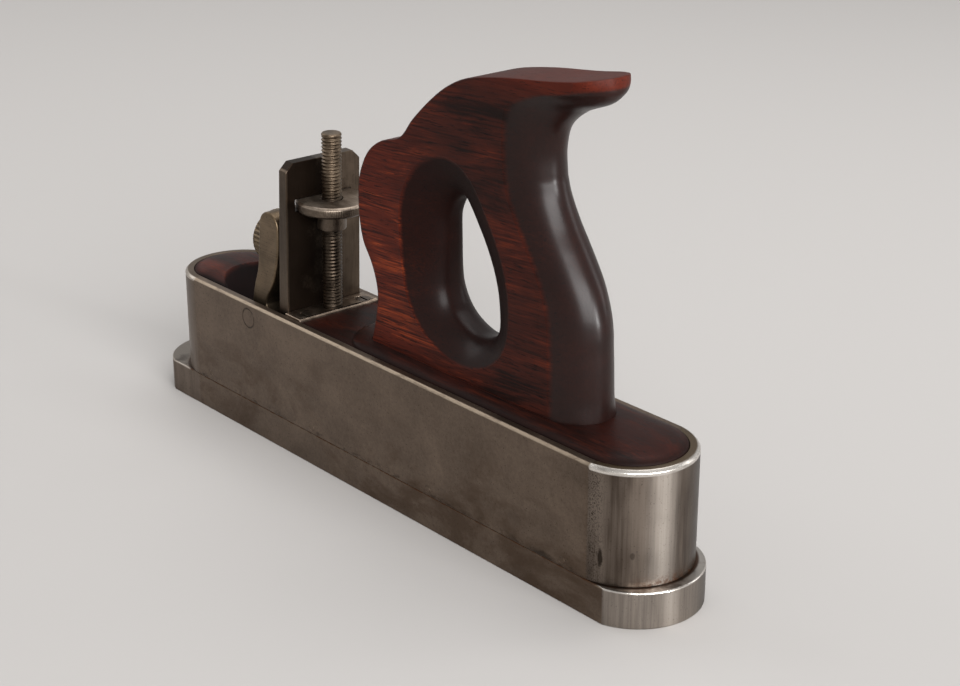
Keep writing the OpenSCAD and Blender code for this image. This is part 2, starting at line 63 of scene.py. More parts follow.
Colour = Tuple[float, float, float]
Point = Tuple[float, float, float]
Span = Tuple[float, float]
MM = 0.001
MERGE_DISTANCE = 0.002 * MM
BORE_GAP = 0.06 * MM
FLAT_ANGLE = math.radians(0.3)
ROUNDED_ANGLE = math.radians(28)
SHARP_ON_TURNED = math.radians(35)
SHARP_ON_HANDLE = math.radians(38)
SHARP_ON_COPY = math.radians(50)
SHARP_ON_THREAD = math.radians(75)
MAIN_BODY = "plane_body"

# Small helpers for shapes


def smooth_curve(points: np.ndarray, steps: int, closed: bool = False) -> np.ndarray:
    """Draws a smooth curve through points.

    Each span from b to c, with neighbours a and d, is the Catmull-Rom cubic
    0.5 * (2b + (c - a)t + (2a - 5b + 4c - d)t^2 + (3b - a - 3c + d)t^3) for t from 0 to 1.

    Args:
        points: The points to pass through, one per row.
        steps: How many points each span gives.
        closed: Whether the curve returns to its first point.

    Returns:
        The points of the curve, one per row.
    """
    count = len(points)
    spans = np.arange(count if closed else count - 1)[:, None] + np.array([-1, 0, 1, 2])
    spans = spans % count if closed else np.clip(spans, 0, count - 1)
    a, b, c, d = (points[spans[:, k]][:, None] for k in range(4))
    t = (np.arange(steps) / steps)[None, :, None]
    curve = 0.5 * (2 * b + (c - a) * t + (2 * a - 5 * b + 4 * c - d) * t**2 + (3 * b - a - 3 * c + d) * t**3)
    curve = curve.reshape(-1, points.shape[1])
    return curve if closed else np.vstack([curve, points[-1]])


def smooth_step(value: np.ndarray, low: float, high: float) -> np.ndarray:
    """Rises smoothly from 0 where value is at low to 1 where it is at high, as 3t^2 - 2t^3."""
    t = np.clip((value - low) / (high - low), 0, 1)
    return t * t * (3 - 2 * t)


def hump(value: np.ndarray, start: float, full: float, end: float, gone: float) -> np.ndarray:
    """Rises from 0 at start to 1 at full and falls from end back to 0 at gone, each as smooth_step does."""
    return smooth_step(value, start, full) * (1 - smooth_step(value, end, gone))


def grid_quads(rows: int, columns: int, close_rows: bool = False, close_columns: bool = False) -> np.ndarray:
    """Lists the quads of a grid of points that are stored row by row.

    Args:
        rows: Number of rows of points.
        columns: Number of points in a row.
        close_rows: Whether the last row joins the first.
        close_columns: Whether the last column joins the first.

    Returns:
        Four corner numbers per quad.
    """
    row_count = rows if close_rows else rows - 1
    column_count = columns if close_columns else columns - 1
    i, j = np.meshgrid(np.arange(row_count), np.arange(column_count), indexing="ij")
    next_i, next_j = (i + 1) % rows, (j + 1) % columns
    corners = [i * columns + j, i * columns + next_j, next_i * columns + next_j, next_i * columns + j]
    return np.stack(corners, axis=-1).reshape(-1, 4)


class Shell:
    """A closed surface put together from grids of points and flat fills."""

    def __init__(self) -> None:
        """Starts with no surface."""
        self._points: List[np.ndarray] = []
        self._faces: List[List[int]] = []
        self._marks: Dict[str, List[Tuple[int, np.ndarray]]] = {}
        self._flat: List[bool] = []
        self._count = 0

    def _add(self, points: np.ndarray, faces: List[List[int]], flat: bool) -> None:
        """Adds points and the faces between them.

        Args:
            points: The points, one per row.
            faces: Corner numbers of each face, counted from 0.
            flat: Whether the faces lie in one plane.
        """
        self._faces += [[corner + self._count for corner in face] for face in faces]
        self._flat += [flat] * len(faces)
        self._points.append(points)
        self._count += len(points)

    def grid(self, points: np.ndarray, close_rows: bool = False, close_columns: bool = False,
             **marks: np.ndarray) -> None:
        """Adds a grid of quads.

        Args:
            points: Array of rows by columns by 3.
            close_rows: Whether the last row joins the first.
            close_columns: Whether the last column joins the first.
            marks: Values to store at the points under a name, each rows by columns; elsewhere they are 0.
        """
        rows, columns = points.shape[:2]
        for name, values in marks.items():
            self._marks.setdefault(name, []).append((self._count, np.broadcast_to(values, (rows, columns)).ravel()))
        self._add(points.reshape(-1, 3), grid_quads(rows, columns, close_rows, close_columns).tolist(), False)

    def fill(self, outline: np.ndarray, *holes: np.ndarray) -> None:
        """Fills a flat outline with one face, or with triangles where it has holes.

        Args:
            outline: Points of the outer edge, one per row.
            holes: Points of the edge of each hole.
        """
        if not holes:
            self._add(outline, [list(range(len(outline)))], True)
            return
        loops = [outline, *holes]
        triangles = tessellate_polygon([[Vector(point) / MM for point in loop] for loop in loops])
        self._add(np.concatenate(loops), [list(triangle) for triangle in triangles], True)

    def to_object(self, name: str) -> bpy.types.Object:
        """Makes the mesh object, with shared edges merged and its faces turned outward.

        Args:
            name: Name of the new object.

        Returns:
            The object, at the origin and in the scene.
        """
        mesh = bpy.data.meshes.new(name)
        mesh.from_pydata(np.concatenate(self._points).tolist(), [], self._faces)
        for mark, parts in self._marks.items():
            stored = np.zeros(self._count, np.float32)
            for first, values in parts:
                stored[first:first + len(values)] = values
            mesh.attributes.new(mark, "FLOAT", "POINT").data.foreach_set("value", stored)
        mesh.attributes.new("flat", "BOOLEAN", "FACE").data.foreach_set("value", np.array(self._flat))
        merge_and_face_outward(mesh)
        return link_object(name, mesh)


def merge_and_face_outward(mesh: bpy.types.Mesh, flatten: bool = False) -> None:
    """Merges points that lie together and turns all faces outward.

    Args:
        mesh: The mesh to change.
        flatten: Whether triangles that lie in one plane become one face.
    """
    work = bmesh.new()
    work.from_mesh(mesh)
    bmesh.ops.remove_doubles(work, verts=work.verts, dist=MERGE_DISTANCE)
    if flatten:
        bmesh.ops.dissolve_limit(work, angle_limit=FLAT_ANGLE, verts=work.verts, edges=work.edges)
    bmesh.ops.recalc_face_normals(work, faces=work.faces)
    work.to_mesh(mesh)
    work.free()
    old_normals = mesh.attributes.get("custom_normal")
    if old_normals is not None:
        mesh.attributes.remove(old_normals)
    mesh.update()


def link_object(name: str, data: bpy.types.ID) -> bpy.types.Object:
    """Puts a mesh, light or camera in the scene as an object at the origin.

    Args:
        name: Name of the new object.
        data: What it shows.

    Returns:
        The object.
    """
    made = bpy.data.objects.new(name, data)
    bpy.context.scene.collection.objects.link(made)
    return made


def shade(made: bpy.types.Object, sharp: float) -> None:
    """Shades an object smooth up to an angle and round its flat fills.

    Args:
        made: The object to shade.
        sharp: Angle in radians above which an edge stays sharp.
    """
    made.data.shade_smooth()
    made.data.set_sharp_from_angle(angle=sharp)
    flat = made.data.attributes.get("flat")
    if flat is not None:
        values = np.zeros(len(made.data.polygons), bool)
        flat.data.foreach_get("value", values)
        made.data.polygons.foreach_set("use_smooth", ~values)
    weighted = made.modifiers.new("Flat faces stay flat", "WEIGHTED_NORMAL")
    weighted.mode = "FACE_AREA"
    weighted.weight = 100
    weighted.keep_sharp = True


@dataclass(frozen=True)
class Finish:
    """A material and the record's slot that it belongs to."""

    material: bpy.types.Material
    slot: str


def settle(made: bpy.types.Object, body: str, finish: Finish, *nodes: str) -> None:
    """Gives a finished piece its material and its place in the frame.

    Args:
        made: The piece.
        body: The moving body that it rides on.
        finish: Its material and slot.
        nodes: The nodes of the frame that it stands for.
    """
    made.data.materials.clear()
    made.data.materials.append(finish.material)
    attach(made, body)
    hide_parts(*nodes)
    log.info("%s: %d faces, rides on %s", made.name, len(made.data.polygons), body)


def settle_copy(node: str, body: str, finish: Finish, rounding: float, segments: int = 3, flatten: bool = True) -> None:
    """Settles a copy of a node of the frame, with its points merged and its edges rounded.

    Args:
        node: The node to copy, which the copy stands for.
        body: The moving body that it rides on.
        finish: Its material and slot.
        rounding: Width in metres of the rounding along its edges.
        segments: Faces across the rounding.
        flatten: Whether triangles that lie in one plane become one face.
    """
    mesh = frame["nodes"][node].data.copy()
    merge_and_face_outward(mesh, flatten)
    made = link_object(f"{node}_finish", mesh)
    bevel = made.modifiers.new("Eased edges", "BEVEL")
    bevel.width = rounding
    bevel.segments = segments
    bevel.limit_method = "ANGLE"
    bevel.angle_limit = ROUNDED_ANGLE
    bevel.use_clamp_overlap = False
    shade(made, SHARP_ON_COPY)
    settle(made, body, finish, node)


# Small helpers for shaders


def math_method(operation: str, swapped: bool = False) -> Callable[..., "Wire"]:
    """Makes a method of Wire that adds one Math node.

    Args:
        operation: The node's operation.
        swapped: Whether the wire comes after the other value, as in a reflected operator.

    Returns:
        The method.
    """

    def method(self: "Wire", *others: "Value") -> "Wire":
        """Adds the node for this wire and the others."""
        return self.maker.math(operation, *((*others, self) if swapped else (self, *others)))

    return method


class Wire:
    """One value or colour in a shader, which takes part in sums like a number."""

    def __init__(self, maker: "Maker", socket: bpy.types.NodeSocket) -> None:
        """Holds an output socket and the maker whose tree it is in."""
        self.maker = maker
        self.socket = socket

    __add__, __radd__ = math_method("ADD"), math_method("ADD", True)
    __sub__, __rsub__ = math_method("SUBTRACT"), math_method("SUBTRACT", True)
    __mul__, __rmul__ = math_method("MULTIPLY"), math_method("MULTIPLY", True)
    __truediv__, __rtruediv__ = math_method("DIVIDE"), math_method("DIVIDE", True)
    __pow__, __rpow__ = math_method("POWER"), math_method("POWER", True)
    __abs__ = math_method("ABSOLUTE")
    root = math_method("SQRT")
    at_least = math_method("MAXIMUM")
    at_most = math_method("MINIMUM")

    def rise(self, low: float, high: float) -> "Wire":
        """Changes smoothly from 0 to 1 as this goes from one value to another.

        Args:
            low: Where it is 0.
            high: Where it is 1, which may be less than low.

        Returns:
            The share.
        """
        if low > high:
            return 1 - self.rise(high, low)
        return self.maker.wire("ShaderNodeMapRange", {"interpolation_type": "SMOOTHSTEP"},
                               {"Value": self, "From Min": low, "From Max": high, "To Min": 0.0, "To Max": 1.0},
                               "Result")


Value = Union[float, Wire, Colour]


class Maker:
    """Builds the node tree of one material or of the world."""

    def __init__(self, tree: bpy.types.NodeTree) -> None:
        """Empties the tree."""
        self.tree = tree
        tree.nodes.clear()

    def node(self, kind: str, settings: Dict[str, Any], inputs: Dict[Union[str, int], Any]) -> bpy.types.Node:
        """Adds one node: its type, then its settings, then its inputs.

        Args:
            kind: Type name of the node.
            settings: Properties to set on it.
            inputs: Values or wires for its inputs, by identifier, name or number.

        Returns:
            The new node.
        """
        made = self.tree.nodes.new(kind)
        for name, value in settings.items():
            setattr(made, name, value)
        by_name = {socket.name: socket for socket in reversed(made.inputs)}
        by_name.update({socket.identifier: socket for socket in made.inputs})
        for key, value in inputs.items():
            socket = made.inputs[key] if isinstance(key, int) else by_name[key]
            if isinstance(value, Wire):
                self.tree.links.new(value.socket, socket)
            elif socket.type == "RGBA" and len(value) == 3:
                socket.default_value = (*value, 1.0)
            else:
                socket.default_value = value
        return made

    def wire(self, kind: str, settings: Dict[str, Any], inputs: Dict[Union[str, int], Any],
             output: Union[str, int] = 0) -> Wire:
        """One output of a new node, which is added as node() does."""
        return Wire(self, self.node(kind, settings, inputs).outputs[output])

    def math(self, operation: str, *values: Value) -> Wire:
        """One Math node on the given values."""
        return self.wire("ShaderNodeMath", {"operation": operation}, dict(enumerate(values)))

    @cached_property
    def place(self) -> Wire:
        """The point's own place on the part, in millimetres."""
        own = self.wire("ShaderNodeTexCoord", {}, {}, "Object")
        return self.wire("ShaderNodeVectorMath", {"operation": "SCALE"}, {0: own, "Scale": 1 / MM}, "Vector")

    @cached_property
    def axes(self) -> Tuple[Wire, ...]:
        """The three parts of the place: along the plane, across it and up."""
        parts = self.node("ShaderNodeSeparateXYZ", {}, {"Vector": self.place}).outputs
        return tuple(Wire(self, part) for part in parts)

    def join(self, x: Value, y: Value, z: Value) -> Wire:
        """A vector from its three parts."""
        return self.wire("ShaderNodeCombineXYZ", {}, {0: x, 1: y, 2: z})

    def noise(self, vector: Wire, scale: Union[float, Point], detail: float = 4.0,
              roughness: float = 0.7, distortion: float = 0.0) -> Wire:
        """Soft noise between 0 and 1.

        Args:
            vector: Where to read it.
            scale: Cycles per unit of the vector, as one number or one for each of its parts.
            detail: How many finer layers it has.
            roughness: Strength of each finer layer.
            distortion: How far it is swirled.

        Returns:
            The noise value.
        """
        if isinstance(scale, tuple):
            vector = self.wire("ShaderNodeVectorMath", {"operation": "MULTIPLY"}, {0: vector, 1: scale}, "Vector")
            scale = 1.0
        return self.wire("ShaderNodeTexNoise", {"noise_dimensions": "3D"},
                         {"Vector": vector, "Scale": scale, "Detail": detail, "Roughness": roughness,
                          "Distortion": distortion})

    def oval(self, along: float, up: float, wide: float = 1.0, tall: float = 1.0) -> Wire:
        """Distance seen from the side from the point (along, up), as a share of wide and tall."""
        x, _, z = self.axes
        return (((x - along) / wide) ** 2.0 + ((z - up) / tall) ** 2.0).root()

    def mix(self, factor: Value, first: Value, second: Value) -> Wire:
        """Colour that goes from first to second as factor goes from 0 to 1."""
        return self.wire("ShaderNodeMix", {"data_type": "RGBA", "blend_type": "MIX", "clamp_factor": True},
                         {"Factor_Float": factor, "A_Color": first, "B_Color": second}, 2)

    def layers(self, colour: Value, *over: Tuple[Value, Value]) -> Value:
        """Lays colours over one another.

        Args:
            colour: The lowest.
            over: Strength and colour of each further one.

        Returns:
            The colour that shows.
        """
        for strength, layer in over:
            colour = self.mix(strength, colour, layer)
        return colour

    def attribute(self, name: str) -> Wire:
        """A value stored on the mesh under a name."""
        return self.wire("ShaderNodeAttribute", {"attribute_type": "GEOMETRY", "attribute_name": name}, {}, "Fac")

    def bump(self, height: Wire, depth: float) -> Wire:
        """Normal of a surface with fine relief, whose height from 0 to 1 is a depth in metres."""
        return self.wire("ShaderNodeBump", {}, {"Height": height, "Distance": depth, "Strength": 1.0}, "Normal")

    def surface(self, inputs: Dict[str, Any]) -> None:
        """Ends the tree in a Principled surface with these inputs."""
        self.node("ShaderNodeOutputMaterial", {}, {"Surface": self.wire("ShaderNodeBsdfPrincipled", {}, inputs)})


def new_maker(name: str) -> Tuple[bpy.types.Material, Maker]:
    """Adds a material.

    Args:
        name: Name of the material.

    Returns:
        The material and the maker of its nodes.
    """
    material = bpy.data.materials.new(name)
    material.use_nodes = True
    return material, Maker(material.node_tree)


@dataclass(frozen=True)
class BodyPlan:
    """Outline of the casing seen from above, in millimetres: straight sides and half-round ends."""

    heel: float
    toe: float
    half_width: float
    rim: float
    sole_top: float

    @staticmethod
    def from_frame() -> "BodyPlan":
        """Reads the outline from the frame's casing."""
        low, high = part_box("side_casing")
        return BodyPlan(high.x / MM, low.x / MM, high.y / MM, high.z / MM, low.z / MM)

    @property
    def heel_start(self) -> float:
        """Where the sides go over into the round heel."""
        return self.heel - self.half_width

    @property
    def toe_start(self) -> float:
        """Where the sides go over into the round toe."""
        return self.toe + self.half_width

    def outward(self, maker: Maker) -> Wire:
        """Distance in millimetres outside the casing's outline; negative inside it.

        Args:
            maker: The tree to build in.

        Returns:
            The distance.
        """
        x, y, _ = maker.axes
        middle = (self.heel + self.toe) / 2
        past = (abs(x - middle) - (self.heel_start - middle)).at_least(0.0)
        return (past * past + y * y).root() - self.half_width


# Finishes


@dataclass(frozen=True)
class Steel:
    """Old steel with clouds of patina, dark specks and fine scratches.

    Stains gather towards one side, up to a distance from the middle plane; that lean to one side is painted shade.
    Where upper colours are given, they take over along upper_span, which is measured in millimetres along upper_axis;
    the finishes use them as painted light and shade.
    """

    name: str
    slot: str
    dark: Colour
    light: Colour
    speck: Colour = (0.025, 0.02, 0.016)
    stain: Colour = (0.016, 0.010, 0.007)
    upper_dark: Optional[Colour] = None
    upper_light: Optional[Colour] = None
    roughness: float = 0.42
    cloud_scale: float = 0.2
    speck_amount: float = 0.5
    scratches: Point = (0.05, 2.0, 2.0)
    relief: float = 0.02 * MM
    stain_amount: float = 0.0
    shade_lean: float = 0.0
    stain_within: float = 0.0
    upper_axis: Tuple[float, ...] = (0.0, 0.0, 1.0)
    upper_span: Span = (0.0, 0.0)

    def build(self) -> Finish:
        """Makes the material.

        Returns:
            The new material and its slot.
        """
        material, maker = new_maker(self.name)
        place = maker.place
        clouds = maker.noise(place, self.cloud_scale, 5.0, 0.6, 0.6)
        grain = maker.noise(place, self.scratches, 3.0, 0.6)
        specks = maker.noise(place, 1.3, 2.0, 0.5).rise(0.62, 0.74) * self.speck_amount
        tone = (clouds * 0.75 + grain * 0.35).rise(0.3, 0.8)
        colour = maker.mix(tone, self.dark, self.light)
        if self.upper_dark and self.upper_light:
            x, y, z = maker.axes
            level = x * self.upper_axis[0] + y * self.upper_axis[1] + z * self.upper_axis[2]
            colour = maker.mix(level.rise(*self.upper_span), colour, maker.mix(tone, self.upper_dark, self.upper_light))
        colour = maker.mix(specks, colour, self.speck)
        rough = self.roughness + (clouds - 0.5) * 0.25 + specks * 0.25
        if self.stain_amount > 0:
            y = maker.axes[1]
            # The lean darkens one side more than the random stains do: painted shade over rust stains.
            stains_and_shade = (maker.noise(place, 0.09, 5.0, 0.68) - y * self.shade_lean).rise(0.40, 0.56) * self.stain_amount
            stains_and_shade = stains_and_shade * abs(y).rise(self.stain_within, self.stain_within - 0.5)
            colour = maker.mix(stains_and_shade, colour, self.stain)
            rough = rough + stains_and_shade * 0.15
        normal = maker.bump(grain * 0.5 - specks * 0.6, self.relief)
        maker.surface({"Base Color": colour, "Metallic": 1.0, "Roughness": rough, "Normal": normal})
        return Finish(material, self.slot)


@dataclass(frozen=True)
class Spot:
    """A dark spot near the heel: its place from the round end's start and the sole's top, size and strength."""

    along: float
    up: float
    wide: float
    tall: float
    strength: float


@dataclass(frozen=True)
class BodySteel:
    """Steel of the sole and casing: brown patina on the sides, ends with painted light and shade, worn bright edges.

    All places are in millimetres. The ends' colour starts crease_shift past the start of the round heel on the
    casing, and lip_shift past it on the sole. Beside that crease a dark band comes and goes over band_span. The heel
    gets a painted highlight round highlight_place across the plane and along its lip, and painted shade that darkens it
    up to far_shade_reach on its far side. Rust reaches forward from its tip, and dirt up from the seam.
    """

    name: str
    slot: str
    plan: BodyPlan
    side_dark: Colour = (0.092, 0.067, 0.050)
    side_light: Colour = (0.195, 0.147, 0.111)
    side_brown: Colour = (0.075, 0.047, 0.030)
    side_rim: Colour = (0.40, 0.325, 0.245)
    end_dark: Colour = (0.062, 0.046, 0.036)
    end_light: Colour = (0.190, 0.155, 0.128)
    end_highlight: Colour = (0.56, 0.505, 0.45)
    end_far_shade: Colour = (0.040, 0.028, 0.018)
    end_top: Colour = (0.120, 0.082, 0.045)
    bright: Colour = (0.74, 0.70, 0.65)
    rust: Colour = (0.085, 0.036, 0.016)
    dirt: Colour = (0.02, 0.014, 0.010)
    relief: float = 0.03 * MM
    crease_shift: float = 2.7
    lip_shift: float = 10.0
    band_span: Tuple[float, ...] = (-1.0, 0.6, 2.0, 7.0)
    highlight_place: float = -5.5
    highlight_reach: float = 8.0
    far_shade_reach: float = 13.0
    rust_reach: float = 8.0
    seam_reach: float = 3.5
    seam_stain: float = 92.5
    seam_stain_size: Span = (9.0, 3.0)
    spots: Tuple[Spot, ...] = (Spot(7.2, 8.8, 0.8, 3.3, 0.9), Spot(15.3, 10.5, 0.5, 1.1, 0.5))

    def _ends(self, maker: Maker) -> Tuple[Wire, Wire]:
        """Colour of the round ends with painted light and shade, and the dark band and spots beside the heel's crease.

        Args:
            maker: The tree to build in.

        Returns:
            The colour and the strength of the band.
        """
        place, (x, y, z), top = maker.place, maker.axes, self.plan.sole_top
        upright = maker.noise(place, (1.2, 1.2, 0.03), 4.0, 0.65)
        broad = maker.noise(place, (0.12, 0.12, 0.02), 3.0, 0.6)
        crease = self.plan.heel_start + self.crease_shift
        start, full, end, gone = (crease + reach for reach in self.band_span)
        pits = maker.noise(place, (2.4, 2.4, 1.9), distortion=0.3).rise(0.50, 0.60)
        band = x.rise(start, full) * x.rise(gone, end) * pits * 0.85
        ragged = maker.noise(place, 0.7) * 1.4 - 0.7
        near = y.rise(0.0, -2.0)
        for spot in self.spots:
            blot = maker.oval(self.plan.heel_start + spot.along, top + spot.up, spot.wide, spot.tall) + ragged
            band = band.at_least(blot.rise(1.2, 0.6) * near * spot.strength)
        # Painted shade: the tone dims and the end_far_shade colour takes over towards the heel's far side, up to
        # far_shade_reach.
        tone = (upright * 0.28 + broad * 0.75).rise(0.34, 0.68) * (1 - y.rise(0.0, self.far_shade_reach) * 0.9)
        colour = maker.mix(tone, self.end_dark, self.end_light)
        colour = maker.mix(y.rise(3.0, self.far_shade_reach) * 0.92, colour, self.end_far_shade)
        at_heel = x.rise(0.0, 10.0)
        # Painted highlight: a bright stripe round highlight_place on the heel, and a lighter lip below it, both in the
        # end_highlight colour.
        worn = abs(y - self.highlight_place).rise(self.highlight_reach, 0.0) ** 1.5 * (0.55 + upright * 0.5) * at_heel
        lip = z.rise(top, top - 0.6) * at_heel * y.rise(14.0, 2.0) * 0.36
        return maker.mix((worn * 0.85).at_least(lip * (0.4 + upright)), colour, self.end_highlight), band

    def _pin_mark(self, maker: Maker) -> Wire:
        """Strength of the faint dark ring round the riveted end of the cross pin.

        Args:
            maker: The tree to build in.

        Returns:
            The strength.
        """
        low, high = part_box("cross_pin")
        centre = (low + high) / 2 / MM
        radius = (high.z - low.z) / 2 / MM
        broken = maker.noise(maker.place, 0.3, 2.0, 0.5).rise(0.35, 0.55)
        return abs(maker.oval(centre.x, centre.z) - radius).rise(0.5, 0.1) * (0.3 + broken * 0.7)

    def build(self) -> Finish:
        """Makes the material.

        Returns:
            The new material and its slot.
        """
        material, maker = new_maker(self.name)
        place, (x, y, z), plan = maker.place, maker.axes, self.plan
        rim, top = plan.rim, plan.sole_top
        outward = plan.outward(maker)
        on_casing = z.rise(top - 0.2, top + 0.2)
        on_sole = 1 - on_casing
        on_lip = z.rise(top - 0.3, top - 0.6)
        past_crease = x - (plan.heel_start + self.lip_shift) + on_casing * (self.lip_shift - self.crease_shift)
        at_end = past_crease.rise(-0.5, 0.5).at_least(x.rise(plan.toe_start + 0.6, plan.toe_start - 0.6) * 0.5)

        clouds = maker.noise(place, (0.045, 0.045, 0.06), 6.0, 0.62, 0.5)
        fine = maker.noise(place, 0.9)
        side = maker.mix((clouds * 0.7 + fine * 0.4).rise(0.22, 0.88), self.side_dark, self.side_light)
        brown = maker.noise(place, (0.03, 0.03, 0.05), 5.0, 0.65, 0.4).rise(0.44, 0.66) * z.rise(rim, top + 2.0) * 0.8
        ends, band = self._ends(maker)
        specks = maker.noise(place, 2.1, 2.0, 0.5).rise(0.64, 0.74) * 0.55
        seam_noise = maker.noise(place, (0.25, 0.25, 0.5))
        near_seam = z.rise(top + self.seam_reach, top) * on_casing * seam_noise.rise(0.45, 0.7)
        seam_line = abs(z - top).rise(0.28, 0.05) * 0.75
        blot = maker.oval(self.seam_stain, top, *self.seam_stain_size) + seam_noise * 1.2
        stain = blot.rise(1.5, 0.9) * on_casing * y.rise(0.0, -2.0)
        dirt = specks.at_least(near_seam.at_least(stain * 0.9) * 0.8).at_least(seam_line)
        corner = on_sole * z.rise(top - 0.6, top - 0.15) * outward.rise(2.6, 0.2)
        heel_foot = x.rise(plan.heel - self.rust_reach, plan.heel) * on_casing * z.rise(top + 5.0, top + 0.5)
        rusty = (corner * maker.noise(place, 0.35).rise(0.35, 0.6)).at_least(
            heel_foot * maker.noise(place, 0.5).rise(0.4, 0.65))
        # Worn bright edges on the rim and the sole's lip; at the ends they turn brighter and paler, as a painted
        # highlight.
        rim_edge = (z + at_end * 0.9).rise(rim - 1.15, rim - 0.75) * outward.rise(-1.3, -0.6) * (0.55 + at_end * 0.45)
        lip_edge = on_sole * z.rise(top - 0.75, top - 0.25) * outward.rise(0.6, 1.4) * (0.35 + at_end * 0.65)
        worn_noise = maker.noise(place, (0.12, 0.12, 1.0)).rise(0.3, 0.55)
        worn = rim_edge.at_least(lip_edge) * (0.3 + worn_noise * 0.7)

        colour = maker.layers(
            side, (brown, self.side_brown), (at_end * (0.35 + on_casing.at_least(on_lip) * 0.65), ends),
            (at_end * z.rise(rim - 0.12, rim - 0.03) * 0.85, self.end_top), (band * on_casing, self.dirt),
            (dirt, self.dirt), (rusty * 0.85, self.rust), (worn, maker.mix(at_end, self.side_rim, self.bright)),
            (self._pin_mark(maker) * 0.75, self.dirt))
        rough = 0.43 - at_end * 0.05 + (clouds - 0.5) * 0.22 + specks * 0.2 + rusty * 0.3 - worn * 0.12
        scratches = maker.noise(maker.join(x * 0.12, y * 0.12, z * 2.6 + x * 0.3), 1.0, 3.0, 0.6)
        height = fine * 0.5 - specks * 0.5 - band * 0.5 - rusty * 0.4 + scratches * at_end * 0.5
        maker.surface({"Base Color": colour, "Metallic": 1.0, "Roughness": rough.at_least(0.2),
                       "Normal": maker.bump(height, self.relief)})
        return Finish(material, self.slot)


class Dressing(Enum):
    """Where a rosewood piece sits, which decides its wear."""

    INFILL = "infill"
    HANDLE = "handle"


@dataclass(frozen=True)
class Rosewood:
    """Dark polished rosewood with its grain along the plane.

    Each span gives the two places in millimetres between which a look comes in: painted light behind the handle's
    front, a painted sheen below its top, gloss low in the opening above the rim, the toe block along the plane, and
    painted shade in the scoop behind the toe. The warm colour is both the wood's warm tone and the handle's painted
    light; the pore colour is both the pores and painted shade; the handled colour is both the back's grime and painted
    shade inside the finger opening.
    """

    name: str
    slot: str
    dressing: Dressing
    plan: BodyPlan
    main: Colour = (0.034, 0.0080, 0.0052)
    warm_and_lit: Colour = (0.110, 0.0155, 0.0068)
    streak: Colour = (0.300, 0.052, 0.014)
    dark: Colour = (0.0080, 0.0034, 0.0028)
    pore_and_shade: Colour = (0.004, 0.002, 0.002)
    hand_grime_and_shade: Colour = (0.0085, 0.0028, 0.0021)
    specular: float = 0.08
    coat_roughness: float = 0.27
    tilt_deg: float = 3.0
    relief: float = 0.03 * MM
    lit_front_span: Span = (50.0, 12.0)
    top_sheen_span: Span = (12.0, 3.0)
    hollow_span: Span = (45.0, 12.0)
    toe_block_span: Span = (-45.0, -50.0)
    scoop_span: Span = (15.0, 22.0)

    def build(self) -> Finish:
        """Makes the material.

        Returns:
            The new material and its slot.
        """
        material, maker = new_maker(self.name)
        x, y, z = maker.axes
        turn = math.radians(self.tilt_deg)
        along = x * math.cos(turn) + z * math.sin(turn)
        up = z * math.cos(turn) - x * math.sin(turn)
        grain = maker.join(along, y, up)
        sway = maker.noise(grain, (0.012, 0.03, 0.03), 2.0, 0.5) * 9
        bands = maker.noise(maker.join(along * 0.007, y * 0.17 + sway, up * 0.17 + sway), 1.0, 4.0, 0.6)
        fibres = maker.noise(maker.join(along * 0.04, y * 1.3, up * 1.3 + sway), 1.0)
        pores = maker.noise(grain, (0.16, 2.4, 2.4), 2.0, 0.5).rise(0.60, 0.68)
        patches = maker.noise(grain, (0.02, 0.05, 0.06), 3.0, 0.6).rise(0.42, 0.62) * 0.35
        base = maker.mix((bands * 0.55 + fibres * 0.5).rise(0.42, 0.60), self.dark, self.main)
        red = (bands * 0.5 + fibres * 0.55).rise(0.54, 0.72)
        if self.dressing is Dressing.HANDLE:
            front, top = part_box("handle")[0].x / MM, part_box("handle")[1].z / MM
            # lit is painted light on the handle's front, where the warm colour and the grain streaks show most;
            # top_sheen is a painted sheen on the top of the horn.
            lit = (x.rise(*(front + reach for reach in self.lit_front_span)) * 0.8 + patches).at_most(1.0)
            top_sheen = z.rise(*(top - reach for reach in self.top_sheen_span))
            hand, hollow = maker.attribute("back").rise(0.01, 0.2), maker.attribute("hollow").rise(0.0, 0.12)
            low_in = z.rise(*(self.plan.rim + reach for reach in self.hollow_span)) * hollow
            # The back's grime and the painted shade inside the finger opening take the near-black handled colour.
            over = ((lit * 0.5, self.warm_and_lit), (top_sheen * 0.5, self.warm_and_lit), (red * (0.04 + lit * 0.72), self.streak),
                    (fibres.rise(0.47, 0.38) * lit * 0.7, self.pore_and_shade), (hand.at_least(hollow) * 0.92, self.hand_grime_and_shade))
            coat = 0.01 + hand * 0.30 + low_in * 0.18 - hollow * 0.01
            rough = 0.46 - hand * 0.06 + (hollow - low_in) * 0.1 + (fibres - 0.5) * 0.15
        else:
            edge = self.plan.outward(maker).rise(-6.0, -3.5)
            at_toe = x.rise(*self.toe_block_span)
            scoop = x.rise(*(self.plan.toe + reach for reach in self.scoop_span))
            # The scoop below the rim in the toe block is painted near black in the pore colour, as painted shade,
            # without coat.
            scoop_shade = z.rise(self.plan.rim + 2.0, self.plan.rim - 0.5) * scoop * at_toe
            over = ((patches, self.warm_and_lit), (red * 0.3, self.streak), (edge * 0.85, self.dark),
                    ((1 - at_toe) * 0.65, self.dark), (scoop_shade * 0.95, self.pore_and_shade))
            coat = (0.015 + at_toe * 0.055 - edge * (0.01 + at_toe * 0.045)) * (1 - scoop_shade)
            rough = 0.42 + edge * 0.2 + scoop_shade * 0.2 + (fibres - 0.5) * 0.2
        colour = maker.layers(base, *over, (pores * 0.85, self.pore_and_shade))
        dents = maker.noise(maker.place, 0.3, 3.0, 0.6)
        normal = maker.bump(fibres * 0.25 - pores * 0.6 + dents * 1.5, self.relief)
        maker.surface({"Base Color": colour, "Roughness": rough, "Specular IOR Level": self.specular,
                       "Coat Weight": coat, "Coat Roughness": self.coat_roughness, "Normal": normal})
        return Finish(material, self.slot)


